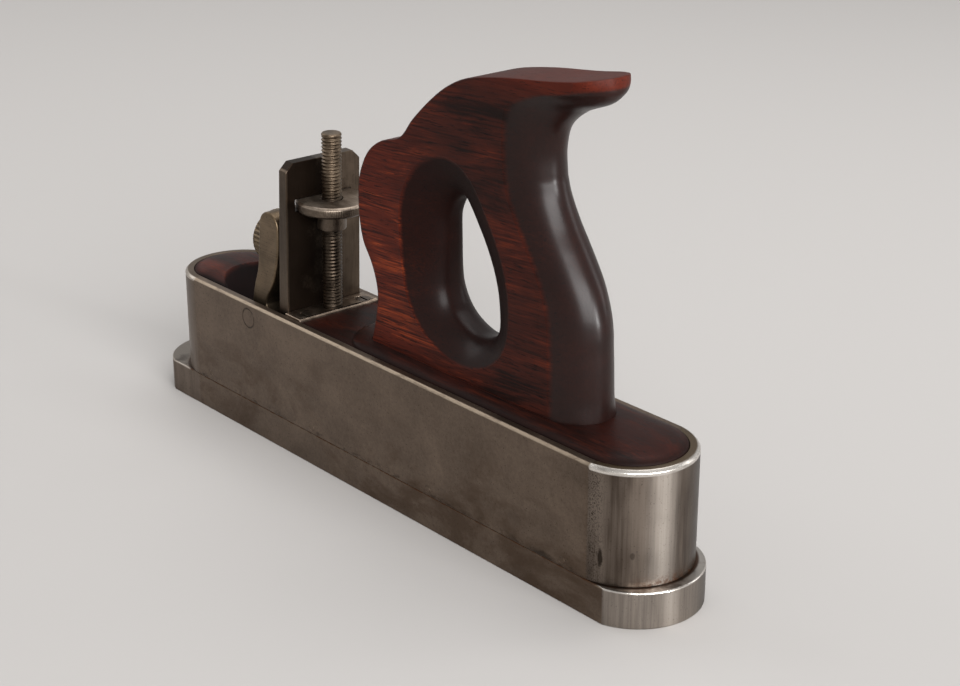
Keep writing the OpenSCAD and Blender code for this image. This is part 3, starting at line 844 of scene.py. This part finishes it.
@dataclass
class Finishes:
    """The finishes of the whole plane."""

    body: Finish
    dark_steel: Finish
    iron: Finish
    cap: Finish
    rod: Finish
    nut: Finish
    bright_steel: Finish
    infill: Finish
    handle: Finish
    brass: Finish

    @staticmethod
    def make(plan: BodyPlan) -> "Finishes":
        """Builds every material.

        Args:
            plan: Outline of the casing.

        Returns:
            The set of finishes.
        """
        axis = joint_axis("nut_turn")
        nut_top = (extent_along("adjusting_nut", axis)[1] + float(np.dot(axis.origin, axis.up))) / MM
        up = tuple(float(value) for value in axis.up)
        return Finishes(
            body=BodySteel("patinated steel", "patinated_steel", plan).build(),
            dark_steel=Steel("dark steel", "dark_steel", (0.07, 0.054, 0.042), (0.19, 0.152, 0.12),
                             cloud_scale=0.12).build(),
            iron=Steel("iron steel", "iron_steel", (0.046, 0.034, 0.025), (0.115, 0.086, 0.063), roughness=0.38,
                       cloud_scale=0.05, speck_amount=0.35, scratches=(1.5, 1.5, 0.06), stain_amount=0.9,
                       shade_lean=0.014, stain_within=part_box("iron")[1].y / MM - 0.5).build(),
            # The cap stays darker below the rim, inside the throat, and lighter above it: painted shade.
            cap=Steel("cap steel", "patinated_steel", (0.050, 0.036, 0.024), (0.13, 0.098, 0.066), cloud_scale=0.08,
                      upper_dark=(0.076, 0.053, 0.033), upper_light=(0.205, 0.150, 0.097),
                      upper_span=(plan.rim + 2.0, plan.rim + 9.0)).build(),
            # The rod stays darker below the nut and turns lighter above it: painted shade under the nut.
            rod=Steel("rod steel", "dark_steel", (0.030, 0.022, 0.016), (0.085, 0.064, 0.047),
                      upper_dark=(0.065, 0.046, 0.031), upper_light=(0.205, 0.155, 0.110), upper_axis=up,
                      upper_span=(nut_top - 1.0, nut_top + 4.0)).build(),
            # The nut's top face and edge turn lighter: painted light on its top.
            nut=Steel("nut steel", "dark_steel", (0.062, 0.047, 0.036), (0.18, 0.142, 0.110), roughness=0.40,
                      upper_dark=(0.16, 0.125, 0.095), upper_light=(0.46, 0.38, 0.31), upper_axis=up,
                      upper_span=(nut_top - 1.1, nut_top - 0.7)).build(),
            bright_steel=Steel("turned steel", "patinated_steel", (0.14, 0.104, 0.078), (0.41, 0.325, 0.255),
                               roughness=0.36).build(),
            infill=Rosewood("rosewood infill", "rosewood", Dressing.INFILL, plan).build(),
            handle=Rosewood("rosewood handle", "rosewood", Dressing.HANDLE, plan).build(),
            brass=Steel("aged brass", "aged_brass", (0.060, 0.042, 0.027), (0.20, 0.150, 0.095), cloud_scale=0.15,
                        speck_amount=0.4).build(),
        )


# Sub-assemblies


@dataclass
class Body:
    """The steel sole with its land, the casing riveted to it, and the rivets."""

    sole_rounding: float = 0.45 * MM
    casing_rounding: float = 0.22 * MM
    rivet_rounding: float = 0.12 * MM

    def build(self, finishes: Finishes) -> None:
        """Makes the steel body's pieces.

        Args:
            finishes: The finishes.
        """
        settle_copy("sole_plate", MAIN_BODY, finishes.body, self.sole_rounding)
        settle_copy("side_casing", MAIN_BODY, finishes.body, self.casing_rounding)
        settle_copy("casing_rivets", MAIN_BODY, finishes.body, self.rivet_rounding)


@dataclass
class Infills:
    """The rosewood blocks in front of and behind the iron, and the screws under them."""

    toe_rounding: float = 0.3 * MM
    rear_rounding: float = 0.15 * MM
    screw_rounding: float = 0.15 * MM

    def build(self, finishes: Finishes) -> None:
        """Makes the two blocks and their screws.

        Args:
            finishes: The finishes.
        """
        settle_copy("toe_infill", MAIN_BODY, finishes.infill, self.toe_rounding)
        settle_copy("rear_infill", MAIN_BODY, finishes.infill, self.rear_rounding)
        for node in ("toe_infill_screws", "rear_infill_screws", "handle_screws"):
            settle_copy(node, MAIN_BODY, finishes.dark_steel, self.screw_rounding, segments=2)


@dataclass
class Handle:
    """The closed rosewood handle.

    Its side view lists height, front and back in percent of the handle's height and length, and the depth of the
    rounded back there in percent of its full depth. Each level section is square in front with eased corners, flat
    at the sides and round at the back. The finger opening is listed as length and height in percent and the depth of
    its rounding in percent, and rolls inward to the middle of the handle. The foot's form ends over foot_span above
    the rim, and the hand's wear over horn_span of the height.
    """

    side_view: Tuple[Tuple[float, float, float, float], ...] = (
        (0, 5.6, 97.8, 100), (6.6, 7.4, 97.8, 100), (16, 9, 97.5, 100), (22, 8.1, 97.2, 100), (27.5, 5.7, 96.9, 100),
        (33, 2.1, 95.8, 100), (40.3, 0.3, 93, 100), (48.5, 0, 88, 100), (55.1, 1.3, 83.6, 100), (61.5, 5, 80.1, 100),
        (65.8, 10.9, 78.6, 100), (69, 20, 78, 100), (75.6, 26, 77.9, 104), (82.7, 33.8, 80.4, 124),
        (88.3, 41.7, 87.4, 160), (92.1, 50.5, 96.4, 166), (95, 65, 99.6, 92), (97.3, 83, 100, 64),
        (100, 98.8, 99.7, 62))
    opening_view: Tuple[Point, ...] = (
        (20.2, 37.8, 106), (20.6, 50.6, 110), (27.2, 61.8, 108), (38.9, 67.6, 102), (50.3, 64.8, 100),
        (59.4, 54.0, 100), (66.1, 42.1, 100), (68.9, 30.2, 94), (67.4, 17.5, 79), (59.8, 9.3, 65), (46.8, 6.1, 61),
        (32.5, 10.7, 68), (23.5, 21.1, 86))
    horn_width: float = 20.6 * MM
    back_depth: float = 14 * MM
    front_ease: float = 1.4 * MM
    arris_deg: float = 14.0
    opening_rounding: float = 14 * MM
    opening_power: float = 3.0
    opening_crease: float = 0.40
    foot_fill: float = 0.12 * MM
    foot_span: Span = (2 * MM, 10 * MM)
    horn_span: Span = (0.93, 0.98)
    ease_share: float = 0.45
    steps: int = 10
    columns: int = 48
    corner_points: int = 7
    front_points: int = 11
    opening_steps: int = 8
    opening_levels: int = 37

    def __post_init__(self) -> None:
        """Works out the levels of the handle from its side view and the frame's box."""
        low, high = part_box("handle")
        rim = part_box("side_casing")[1].z
        view = smooth_curve(np.array(self.side_view) / 100, self.steps)
        self._start, self._rise = low.x, high.z - rim
        self._first = view[:, 1].min()
        self._scale = (high.x - low.x) / (view[:, 2].max() - self._first)
        self._rim, self._foot_half = rim, high.y
        view = np.vstack([view[:1], view])
        self.height = rim + self._rise * view[:, 0]
        self.height[0] = low.z
        self.front = self._along(view[:, 1])
        self.back = self._along(view[:, 2])
        self.half = self._half_at(self.height)
        low_part = 1 - smooth_step(self.height, *(rim + reach for reach in self.foot_span))
        self.crease = math.sin(math.radians(self.arris_deg)) * (1 - low_part)
        self.half = self.half + self.foot_fill * low_part
        self.back = self.back + self.foot_fill * low_part
        self.ease = np.minimum(self.front_ease, self.ease_share * (self.back - self.front))
        self.depth = self.back_depth * view[:, 3]
        self.middle = self.back - self.depth
        self.shoulder = self.front + self.ease

    def _along(self, share: np.ndarray) -> np.ndarray:
        """Place along the plane of a share of the handle's length."""
        return self._start + self._scale * (share - self._first)

    def _half_at(self, height: np.ndarray) -> np.ndarray:
        """Half the handle's thickness at a height; it tapers evenly from the foot to the horn."""
        return self._foot_half + (self.horn_width / 2 - self._foot_half) * (height - self._rim) / self._rise

    def _back_grid(self) -> np.ndarray:
        """Round back of every level.

        The section runs through angles a from the arris over the back: x = middle + depth * (sin a - sin a0) /
        (1 - sin a0) and y = half * cos a / cos a0, where a0 is the slight crease at the arris. Where the front lies
        behind the start of the round, the section starts where it meets the front.

        Returns:
            Grid of levels by columns by 3.
        """
        crease = self.crease
        share = np.clip((np.maximum(self.shoulder, self.middle) - self.middle) / self.depth, 0, 0.98)
        start = np.arcsin(crease + share * (1 - crease))
        crease = crease[:, None]
        angle = start[:, None] + (math.pi - 2 * start[:, None]) * np.linspace(0, 1, self.columns + 1)
        x = self.middle[:, None] + self.depth[:, None] * (np.sin(angle) - crease) / (1 - crease)
        y = self.half[:, None] * np.cos(angle) / np.sqrt(1 - crease**2)
        return np.stack([x, y, np.broadcast_to(self.height[:, None], x.shape)], axis=-1)

    def _front_grid(self, corner_y: np.ndarray) -> np.ndarray:
        """Square front of every level, with eased corners.

        Each corner is the quadratic curve from (shoulder, y) by (front, y) to (front, y - ease), and the front
        between the corners is straight.

        Args:
            corner_y: Distance of the corner from the middle plane at each level.

        Returns:
            Grid of levels by columns by 3.
        """
        t = np.linspace(0, 1, self.corner_points)[None, :]
        ease_y = np.minimum(self.ease, self.ease_share * corner_y)[:, None]
        x = self.front[:, None] + self.ease[:, None] * (1 - t) ** 2
        y = corner_y[:, None] - ease_y * t**2
        flat = np.linspace(1, -1, self.front_points)[None, 1:-1] * y[:, -1:]
        x = np.hstack([x, np.broadcast_to(self.front[:, None], flat.shape), x[:, ::-1]])
        y = np.hstack([y, flat, -y[:, ::-1]])
        return np.stack([x, y, np.broadcast_to(self.height[:, None], x.shape)], axis=-1)

    def _roll(self) -> Tuple[np.ndarray, np.ndarray]:
        """Levels of the opening's rounding, from one flat side to the other.

        Returns:
            The angle of each level, and the share of the full depth that it has moved inward.
        """
        angle = np.radians(np.linspace(-90, 90, self.opening_levels))
        inset = np.abs(np.cos(angle)) ** (2 / self.opening_power)
        inset[[0, -1]] = 0
        return angle, inset

    def _opening_grid(self) -> np.ndarray:
        """Rolled surface of the finger opening.

        At angle a from -90 to 90 degrees, the edge is moved inward by rounding * i with i = |cos a|^(2/power), and
        lies at the share sign(a) * |sin a|^(2/power) * (1 - crease * i) of the half thickness there.

        Returns:
            Grid of levels by points of the edge by 3.
        """
        view = smooth_curve(np.array(self.opening_view) / 100, self.opening_steps, closed=True)
        edge = np.stack([self._along(view[:, 0]), self._rim + self._rise * view[:, 1]], axis=-1)
        along = np.roll(edge, -1, axis=0) - np.roll(edge, 1, axis=0)
        inward = np.stack([along[:, 1], -along[:, 0]], axis=-1) / np.linalg.norm(along, axis=1)[:, None]
        inward *= self.opening_rounding * view[:, 2:]
        angle, inset = self._roll()
        share = np.sign(angle) * np.abs(np.sin(angle)) ** (2 / self.opening_power) * (1 - self.opening_crease * inset)
        points = edge[None] + inset[:, None, None] * inward[None]
        y = share[:, None] * self._half_at(points[..., 1])
        return np.stack([points[..., 0], y, points[..., 1]], axis=-1)

    def build(self, finishes: Finishes) -> None:
        """Makes the handle.

        Args:
            finishes: The finishes.
        """
        back = self._back_grid()
        front = self._front_grid(back[:, 0, 1])
        opening = self._opening_grid()
        round_back = np.clip((back[..., 0] - self.middle[:, None]) / self.depth[:, None], 0, 1)
        below_horn = 1 - smooth_step(self.height, *(self._rim + share * self._rise for share in self.horn_span))
        shell = Shell()
        shell.grid(back, back=round_back * below_horn[:, None])
        shell.grid(front)
        # The hollow mark lets the finish paint the inside of the finger opening dark, as painted shade.
        shell.grid(opening, close_columns=True, hollow=self._roll()[1][:, None])
        flat = int(np.argmax(self.shoulder >= self.middle))
        for front_edge, back_edge, hole in ((front[:, 0], back[:, 0], opening[-1]),
                                            (front[:, -1], back[:, -1], opening[0])):
            shell.fill(np.vstack([front_edge[:flat + 1], back_edge[:flat][::-1]]), hole)
        for row in (0, -1):
            shell.fill(np.vstack([front[row], back[row, ::-1]]))
        made = shell.to_object("handle_finish")
        shade(made, SHARP_ON_HANDLE)
        settle(made, MAIN_BODY, finishes.handle, "handle")


@dataclass
class Bed:
    """The bed plate behind the iron, the bridge plate on top and their screws."""

    rounding: float = 0.3 * MM
    screw_rounding: float = 0.1 * MM

    def build(self, finishes: Finishes) -> None:
        """Makes the plates and screws.

        Args:
            finishes: The finishes.
        """
        settle_copy("bed_plate", MAIN_BODY, finishes.dark_steel, self.rounding)
        settle_copy("bridge_plate", MAIN_BODY, finishes.bright_steel, self.rounding, flatten=False)
        for node in ("bed_plate_screws", "bridge_screws"):
            settle_copy(node, MAIN_BODY, finishes.dark_steel, self.screw_rounding, segments=2)


@dataclass(frozen=True)
class Axis:
    """A straight axis in the plane that divides the object into left and right."""

    origin: np.ndarray
    up: np.ndarray

    def place(self, radius: np.ndarray, angle: np.ndarray, height: np.ndarray) -> np.ndarray:
        """Points round the axis; the three arrays broadcast together.

        Args:
            radius: Distance from the axis.
            angle: Angle round it in radians.
            height: Distance along it from the origin.

        Returns:
            The points, with a last dimension of 3.
        """
        side = np.array([0.0, 1.0, 0.0])
        out = np.cross(side, self.up)
        return (self.origin + radius[..., None] * (np.cos(angle)[..., None] * out + np.sin(angle)[..., None] * side)
                + height[..., None] * self.up)


def joint_axis(name: str) -> Axis:
    """Reads the axis of one of the frame's joints.

    Args:
        name: Name of the joint.

    Returns:
        The axis.
    """
    joint = next(one for one in frame["joints"] if one["name"] == name)
    direction = np.array(joint["axis"], float)
    return Axis(np.array(joint["pos_m"], float), direction / np.linalg.norm(direction))


def extent_along(node: str, axis: Axis) -> Tuple[float, float, float]:
    """Lowest and highest place of a node along an axis, and its largest radius.

    Args:
        node: Name of the node.
        axis: The axis to measure along.

    Returns:
        Low end, high end and radius in metres.
    """
    mesh = frame["nodes"][node].data
    places = np.empty(len(mesh.vertices) * 3, np.float32)
    mesh.vertices.foreach_get("co", places)
    places = places.reshape(-1, 3) - axis.origin
    along = places @ axis.up
    widest = np.linalg.norm(places - along[:, None] * axis.up, axis=1).max()
    return float(along.min()), float(along.max()), float(widest)


def eased_rim(radius: float, low: float, high: float, edge: float,
              blend: Sequence[float]) -> List[Tuple[float, float, int]]:
    """Profile of a toothed rim with eased corners, from the inside at low round to the inside at high.

    Args:
        radius: Radius of the rim.
        low: Height of its lower face.
        high: Height of its upper face.
        edge: Width and height of each corner.
        blend: How far the corner starts before the edge, rises at it, stays inside the rim and ends past it.

    Returns:
        Rows of radius, height and 1 where teeth are cut.
    """
    start, lift, inset, end = blend
    corner = ((radius - edge - start, 0.0, 0), (radius - edge, lift, 0), (radius - inset, edge, 0),
              (radius, edge + end, 1))
    return [(r, low + h, w) for r, h, w in corner] + [(r, high - h, w) for r, h, w in reversed(corner)]


def turned(name: str, axis: Axis, profile: Sequence[Tuple[float, float, int]], teeth: int, depth: float,
           per_tooth: int) -> bpy.types.Object:
    """Turns a closed profile round an axis, with teeth cut where the profile says so.

    The radius at angle a is the profile's radius less depth * w * (0.5 - 0.5 cos(teeth * a)).

    Args:
        name: Name of the new object.
        axis: The axis.
        profile: Rows of radius, height and w.
        teeth: Number of teeth round the axis.
        depth: Depth of a tooth in metres.
        per_tooth: Columns of faces in one tooth.

    Returns:
        The new object.
    """
    radius, height, cut = np.array(profile).T[..., None]
    angle = np.linspace(0, 2 * math.pi, teeth * per_tooth, endpoint=False)
    shell = Shell()
    shell.grid(axis.place(radius - depth * cut * (0.5 - 0.5 * np.cos(teeth * angle)), angle, height),
               close_rows=True, close_columns=True)
    made = shell.to_object(name)
    shade(made, SHARP_ON_TURNED)
    return made


@dataclass
class Adjuster:
    """The threaded rod behind the iron and the nut that moves the iron."""

    pitch: float = 1.27 * MM
    depth: float = 0.45 * MM
    crest_slope: float = 1.35
    crest_flat: float = 0.2
    crest_power: float = 0.85
    rows_per_turn: int = 12
    columns: int = 64
    plain_over_rim: float = 1.7 * MM
    worn_from: float = 12 * MM
    worn_to: float = 25 * MM
    worn_fade: float = 2 * MM
    worn_share: float = 0.55
    crown: float = 0.6 * MM
    crown_rows: int = 4
    hub_radius: float = 5.1 * MM
    hub_length: float = 7.0 * MM
    hub_ease: Span = (0.4 * MM, 0.12 * MM)
    hub_fillet: Span = (0.9 * MM, 0.25 * MM)
    bore_ease: float = 0.5 * MM
    flange_edge: float = 0.75 * MM
    flange_blend: Tuple[float, ...] = (0.2 * MM, 0.05 * MM, 0.1 * MM, 0.15 * MM)
    knurls: int = 96
    knurl_depth: float = 0.08 * MM
    knurl_columns: int = 6

    def build(self, finishes: Finishes) -> None:
        """Makes the rod and the nut.

        Args:
            finishes: The finishes.
        """
        axis = joint_axis("nut_turn")
        self._build_rod(axis, finishes)
        self._build_nut(axis, finishes)

    def _build_rod(self, axis: Axis, finishes: Finishes) -> None:
        """Makes the rod with a real thread.

        The radius at height h and angle a is r - depth * f, where f rises from 0 on the crest to 1 in the groove as
        the phase h / pitch - a / 2 pi goes through half a turn, flattened a little on the crest. The thread fades in
        over the first turn and out below the top, and is shallower along the worn stretch. A quarter round crowns
        the top.

        Args:
            axis: The rod's axis.
            finishes: The finishes.
        """
        low, high, radius = extent_along("adjusting_rod", axis)
        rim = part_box("side_casing")[1].z
        start = (rim + self.plain_over_rim - axis.origin[2]) / axis.up[2]
        top = high - self.crown
        rows = int((top - start) / self.pitch * self.rows_per_turn)
        height = np.concatenate([[low], np.linspace(start - self.pitch, top, rows)])[:, None]
        angle = np.linspace(0, 2 * math.pi, self.columns, endpoint=False)
        phase = np.abs(((height / self.pitch - angle / (2 * math.pi)) % 1) * 2 - 1)
        groove = np.clip(phase * self.crest_slope - self.crest_flat, 0, 1) ** self.crest_power
        fade = hump(height, start - self.pitch / 2, start + self.pitch, top - self.pitch / 2, top)
        worn_from, worn_to = start + self.worn_from, start + self.worn_to
        worn = hump(height, worn_from - self.worn_fade, worn_from, worn_to, worn_to + self.worn_fade)
        body = axis.place(radius - self.depth * groove * fade * (1 - self.worn_share * worn), angle, height)
        turn = np.linspace(0, math.pi / 2, self.crown_rows + 1)[1:, None]
        crown = axis.place(radius - self.crown * (1 - np.cos(turn)), angle, top + self.crown * np.sin(turn))
        shell = Shell()
        shell.grid(np.concatenate([body, crown]), close_columns=True)
        shell.fill(body[0])
        shell.fill(crown[-1])
        made = shell.to_object("adjusting_rod_finish")
        shade(made, SHARP_ON_THREAD)
        settle(made, MAIN_BODY, finishes.rod, "adjusting_rod")

    def _build_nut(self, axis: Axis, finishes: Finishes) -> None:
        """Makes the nut by turning its profile, with a straight knurl round the flange.

        Args:
            axis: The nut's axis.
            finishes: The finishes.
        """
        low, high, radius = extent_along("adjusting_nut", axis)
        bore = extent_along("adjusting_rod", axis)[2] + BORE_GAP
        hub, foot = self.hub_radius, low + self.hub_length
        (ease, ease_middle), (fillet, fillet_middle) = self.hub_ease, self.hub_fillet
        profile = [
            (bore, low, 0), (hub - ease, low, 0), (hub - ease_middle, low + ease_middle, 0), (hub, low + ease, 0),
            (hub, foot - fillet, 0), (hub + fillet_middle, foot - fillet_middle, 0), (hub + fillet, foot, 0),
            *eased_rim(radius, foot, high, self.flange_edge, self.flange_blend),
            (bore + self.bore_ease, high, 0), (bore, high - self.bore_ease, 0)]
        made = turned("adjusting_nut_finish", axis, profile, self.knurls, self.knurl_depth, self.knurl_columns)
        settle(made, "adjusting_nut", finishes.nut, "adjusting_nut")


@dataclass
class Iron:
    """The thick upright iron."""

    rounding: float = 0.25 * MM

    def build(self, finishes: Finishes) -> None:
        """Makes the iron."""
        settle_copy("iron", "iron", finishes.iron, self.rounding)


@dataclass
class LeverCap:
    """The lever cap on its cross pin, and its screw."""

    rounding: float = 0.6 * MM
    pin_rounding: float = 0.12 * MM
    head_edge: float = 0.8 * MM
    head_blend: Tuple[float, ...] = (0.3 * MM, 0.08 * MM, 0.15 * MM, 0.3 * MM)
    teeth: int = 36
    tooth_depth: float = 0.45 * MM
    tooth_columns: int = 10

    def build(self, finishes: Finishes) -> None:
        """Makes the cap, the pin and the screw.

        Args:
            finishes: The finishes.
        """
        settle_copy("lever_cap", "lever_cap", finishes.cap, self.rounding)
        settle_copy("cross_pin", MAIN_BODY, finishes.body, self.pin_rounding)
        settle_copy("cap_screw_shank", "cap_screw", finishes.dark_steel, self.pin_rounding)
        axis = joint_axis("cap_screw_turn")
        low, high, radius = extent_along("cap_screw_head", axis)
        bore = extent_along("cap_screw_shank", axis)[2] + BORE_GAP
        profile = [(bore, low, 0), *eased_rim(radius, low, high, self.head_edge, self.head_blend), (bore, high, 0)]
        made = turned("cap_screw_head_finish", axis, profile, self.teeth, self.tooth_depth, self.tooth_columns)
        settle(made, "cap_screw_head", finishes.brass, "cap_screw_head")


# The studio


def aim(made: bpy.types.Object, place: Vector, back: Vector) -> None:
    """Puts a light or camera at a place and turns it.

    Args:
        made: The light or camera.
        place: Where it goes.
        back: Direction away from what it faces.
    """
    made.location = place
    made.rotation_mode = "QUATERNION"
    made.rotation_quaternion = back.to_track_quat("Z", "Y")


@dataclass(frozen=True)
class Lamp:
    """One soft rectangular light that faces the plane.

    Its azimuth in degrees is 0 in front of the visible side and 90 past the heel, and its elevation is in degrees
    above the floor. Its distance and size are in metres, and its power is in watts.
    """

    name: str
    azimuth: float
    elevation: float
    distance: float
    size: Span
    power: float

    def build(self, target: Vector) -> None:
        """Adds the light.

        Args:
            target: The point that it faces.
        """
        data = bpy.data.lights.new(self.name, "AREA")
        data.shape = "RECTANGLE"
        data.size, data.size_y = self.size
        data.energy = self.power
        lamp = link_object(self.name, data)
        a, e = math.radians(self.azimuth), math.radians(self.elevation)
        back = Vector((math.sin(a) * math.cos(e), -math.cos(a) * math.cos(e), math.sin(e)))
        aim(lamp, target + back * self.distance, back)


@dataclass
class Studio:
    """Plain pale floor, soft lights and the camera of the photograph."""

    floor_size: float = 8.0
    floor_colour: Colour = (0.50, 0.482, 0.468)
    floor_roughness: float = 0.9
    backdrop: float = 0.52
    backdrop_colour: Colour = (1.0, 0.985, 0.97)
    fill_level: float = 0.30
    camera_place: Point = (0.4767, -0.3731, 0.2889)
    camera_back: Point = (0.7079, -0.6032, 0.3675)
    camera_reach: Span = (0.01, 50.0)
    lens: float = 71.38
    sensor: float = 36.0
    target: Point = (0.03, 0.0, 0.06)
    lamps: Tuple[Lamp, ...] = (
        Lamp("key", 68, 22, 4.4, (3.6, 2.4), 300), Lamp("rear", 152, 16, 1.3, (0.3, 0.7), 2),
        Lamp("heel", 98, 6, 3.6, (0.45, 0.62), 64), Lamp("overhead", 200, 72, 1.3, (1.2, 0.8), 8),
        Lamp("fill", -75, 35, 1.6, (0.9, 0.9), 4))

    def _floor(self) -> None:
        """Adds the floor under the plane."""
        half = self.floor_size / 2
        shell = Shell()
        shell.fill(np.array([(-half, -half, 0.0), (half, -half, 0.0), (half, half, 0.0), (-half, half, 0.0)]))
        floor = shell.to_object("floor")
        material, maker = new_maker("pale floor")
        maker.surface({"Base Color": self.floor_colour, "Roughness": self.floor_roughness, "Specular IOR Level": 0.0})
        floor.data.materials.append(material)

    def _world(self) -> None:
        """Makes the surroundings pale where they are seen or mirrored, and dim as a light."""
        world = bpy.data.worlds.new("studio")
        world.use_nodes = True
        bpy.context.scene.world = world
        maker = Maker(world.node_tree)
        path = maker.node("ShaderNodeLightPath", {}, {}).outputs
        camera, glossy, clear = (Wire(maker, path[f"Is {ray} Ray"]) for ray in ("Camera", "Glossy", "Transmission"))
        level = self.fill_level + camera.at_least(glossy).at_least(clear) * (self.backdrop - self.fill_level)
        light = maker.wire("ShaderNodeBackground", {}, {"Color": self.backdrop_colour, "Strength": level})
        maker.node("ShaderNodeOutputWorld", {}, {"Surface": light})

    def _camera(self) -> None:
        """Sets the camera where the photograph was taken from."""
        data = bpy.data.cameras.new("camera")
        data.lens, data.sensor_width = self.lens, self.sensor
        data.clip_start, data.clip_end = self.camera_reach
        camera = link_object("camera", data)
        aim(camera, Vector(self.camera_place), Vector(self.camera_back))
        bpy.context.scene.camera = camera

    def build(self) -> None:
        """Makes the floor, surroundings, camera and lights."""
        self._floor()
        self._world()
        self._camera()
        for lamp in self.lamps:
            lamp.build(Vector(self.target))
        log.info("studio ready")


def main() -> None:
    """Builds the whole plane and its studio."""
    logging.basicConfig(level=logging.INFO, format="%(name)s: %(message)s")
    bpy.context.scene.view_settings.view_transform = "Standard"
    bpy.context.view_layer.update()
    finishes = Finishes.make(BodyPlan.from_frame())
    for assembly in (Body(), Infills(), Handle(), Bed(), Adjuster(), Iron(), LeverCap()):
        assembly.build(finishes)
    Studio().build()
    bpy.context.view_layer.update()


if __name__ == "__main__":
    main()
